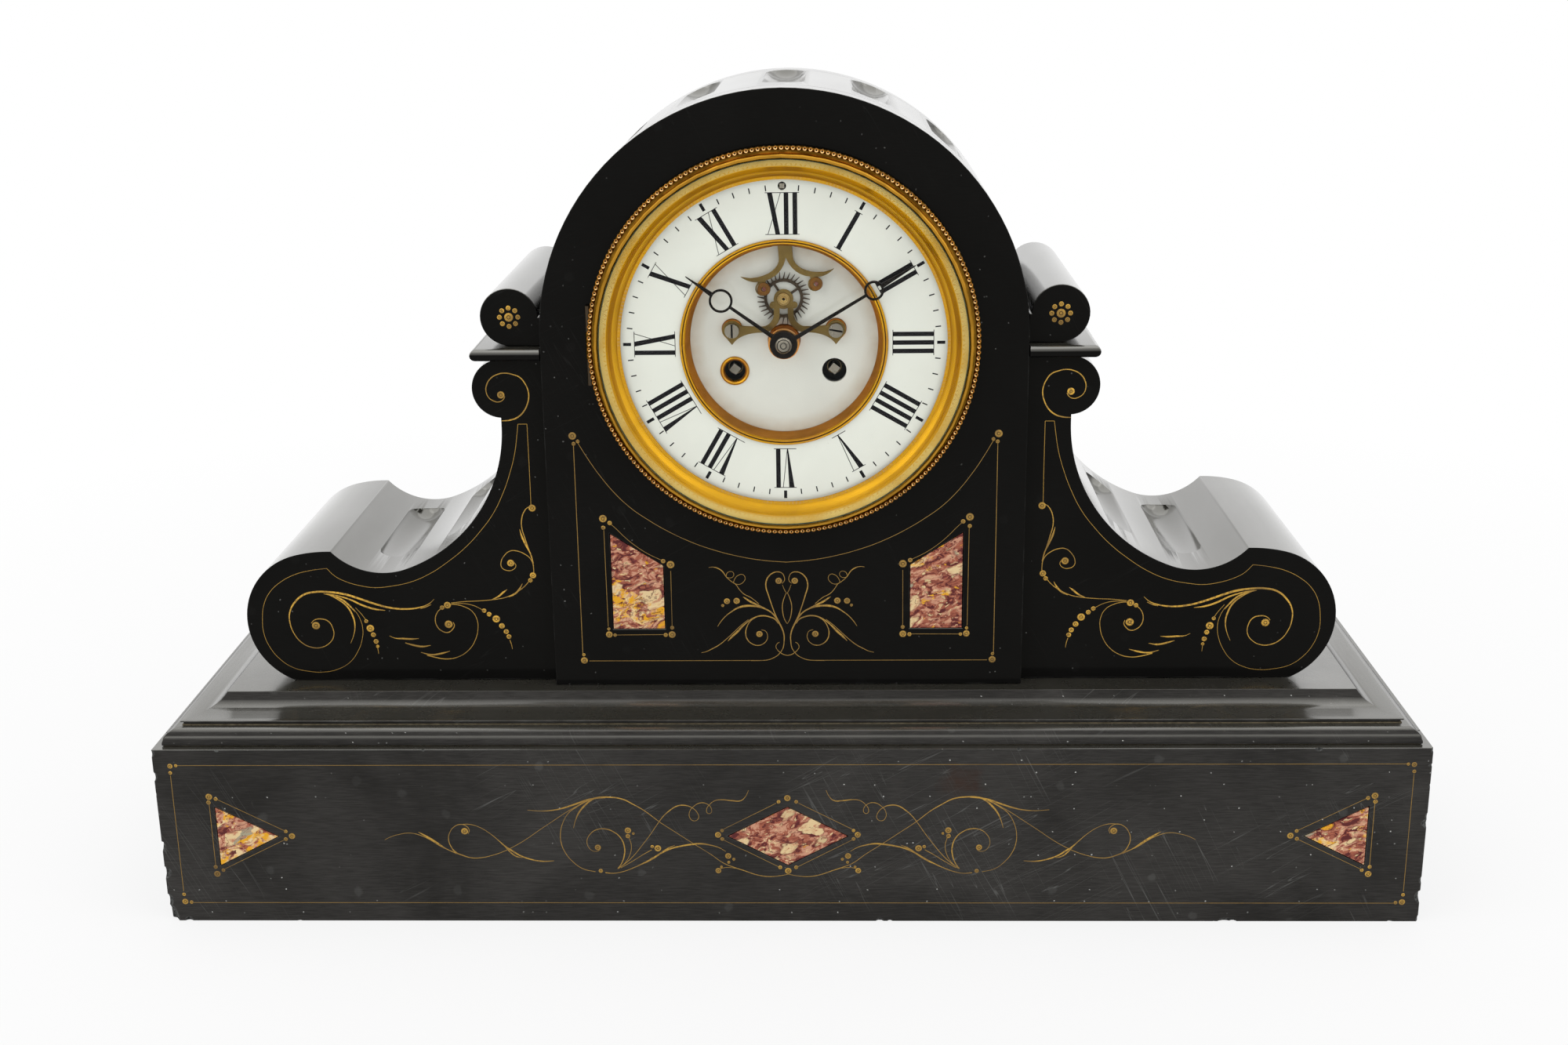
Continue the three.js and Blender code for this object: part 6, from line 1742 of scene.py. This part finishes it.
class CLOCK_OT_movement(ClockOperator, bpy.types.Operator):
    """Finishes the brass of the movement, the dial pan, the bell and the back"""

    bl_idname = "clock.movement"
    bl_label = "Movement and Back"

    def execute(self, context):
        metal = context.scene.clock_metal
        dark = shaded(metal.brass, 0.45)
        brass = metal_material("aged_brass", metal.brass, dark, 0.3, 0.5, (60, 900, 900))
        copper = metal_material("pipe_copper", metal.copper, metal.old_gilt, 0.22, 0.5)
        tint = shaded(metal.brass, 0.9)
        bell = metal_material("bell_metal", tint, dark, 0.2, 0.6, axis=DIAL_AXIS)
        aged = metal_material("pan_brown", metal.brown, shaded(metal.brown, 0.5), 0.35, 0.5)
        done = ("hand_nut", "pallet_anchor", "escape_cock", "escape_wheel")
        for node, slot in SLOT_OF.items():
            if slot == "bell_metal":
                finished(node, bell, 0.12 * MM)
            if slot == "brass" and node not in done:
                tone = {"hour_pipe": copper, "dial_pan": aged}.get(node, brass)
                finished(node, tone, 0.12 * MM)
        return {"FINISHED"}


# The point that the lamps shine at, and half the floor's width.
LAMP_AIM = Vector((0, 0, 0.15))
FLOOR_REACH = 6


class CLOCK_OT_stage(ClockOperator, bpy.types.Operator):
    """Sets up the pale floor, the soft light and the camera"""

    bl_idname = "clock.stage"
    bl_label = "Studio Stage"

    def execute(self, context):
        stage = context.scene.clock_stage
        self.camera(context, stage)
        self.floor()
        self.room(context, stage)
        for name, place, size in (
            ("left_softbox", (-1.3, -0.7, 1.3), 2.1),
            ("right_softbox", (1.4, -0.6, 1.2), 2.1),
            ("top_softbox", (0.0, 0.1, 1.7), 2.4),
        ):
            self.lamp(stage, name, Vector(place), size)
        context.scene.view_settings.view_transform = "Standard"
        return {"FINISHED"}

    def camera(self, context, stage):
        data = bpy.data.cameras.new("photo_camera")
        data.lens = stage.lens
        data.sensor_width = FILM
        camera = linked("photo_camera", data)
        turned = camera_turn(stage.pitch, stage.yaw, stage.roll)
        camera.matrix_world = Matrix.Translation(stage.eye) @ turned
        context.scene.camera = camera

    def seen_white(self, tree, lit, seen_share):
        """Mixes plain white into what the camera, metal and glass see."""
        rays = tree.nodes.new("ShaderNodeLightPath")
        camera = rays.outputs["Is Camera Ray"]
        seen = compute(tree, "MAXIMUM", camera, rays.outputs["Is Glossy Ray"])
        seen = compute(tree, "MAXIMUM", seen, rays.outputs["Is Transmission Ray"])
        white = put(tree, "Emission", {"Color": (1, 1, 1), "Strength": 1.0})
        return put(tree, "MixShader", {0: product(tree, seen, seen_share), 1: lit, 2: white})

    def floor(self):
        shape = bmesh.new()
        bmesh.ops.create_grid(shape, x_segments=1, y_segments=1, size=FLOOR_REACH)
        mesh = mesh_of(shape, "studio_floor")
        floor = linked("studio_floor", mesh)
        material, tree, surface, place = surface_of(
            "white_paper", Roughness=0.9, Specular_IOR_Level=0.1, Base_Color=(0.85, 0.85, 0.85)
        )
        away = put(tree, "VectorMath", {0: place}, 1, operation="LENGTH")
        fading = spread(tree, away, 0.32, 0.85, 0.8, 1.0)
        both = self.seen_white(tree, surface.outputs[0], fading)
        tree.links.new(both, tree.nodes["Material Output"].inputs["Surface"])
        mesh.materials.append(material)

    def room(self, context, stage):
        world = bpy.data.worlds.new("white_room")
        world.use_nodes = True
        tree = world.node_tree
        background = tree.nodes["Background"]
        feed(tree, background, Color=(1, 1, 1), Strength=stage.daylight)
        both = self.seen_white(tree, background.outputs[0], 1.0)
        tree.links.new(both, tree.nodes["World Output"].inputs["Surface"])
        context.scene.world = world

    def lamp(self, stage, name, place, size):
        data = bpy.data.lights.new(name, "AREA")
        data.shape = "DISK"
        data.size = size
        data.energy = stage.lamps
        lamp = linked(name, data)
        turned = (LAMP_AIM - place).to_track_quat("-Z", "Y").to_matrix().to_4x4()
        lamp.matrix_world = Matrix.Translation(place) @ turned


class CLOCK_PT_panel(bpy.types.Panel):
    """Lists the clock's pieces in the sidebar"""

    bl_idname = "CLOCK_PT_panel"
    bl_label = "Slate Clock"
    bl_space_type = "VIEW_3D"
    bl_region_type = "UI"
    bl_category = "Clock"

    def draw(self, context):
        for operator in OPERATORS:
            self.layout.operator(operator.bl_idname)


OPERATORS = (
    CLOCK_OT_stage,
    CLOCK_OT_slate,
    CLOCK_OT_marble,
    CLOCK_OT_engraving,
    CLOCK_OT_dial,
    CLOCK_OT_printing,
    CLOCK_OT_bezel,
    CLOCK_OT_slip,
    CLOCK_OT_centre_ring,
    CLOCK_OT_hands,
    CLOCK_OT_escapement,
    CLOCK_OT_movement,
)


def register():
    for group in (*SETTINGS.values(), *OPERATORS, CLOCK_PT_panel):
        bpy.utils.register_class(group)
    for name, group in SETTINGS.items():
        setattr(bpy.types.Scene, name, PointerProperty(type=group))


def unregister():
    for name in SETTINGS:
        delattr(bpy.types.Scene, name)
    for group in reversed((*SETTINGS.values(), *OPERATORS, CLOCK_PT_panel)):
        bpy.utils.unregister_class(group)


def main():
    """Makes the whole clock."""
    register()
    for operator in OPERATORS:
        family, name = operator.bl_idname.split(".")
        getattr(getattr(bpy.ops, family), name)()


if __name__ == "__main__":
    main()
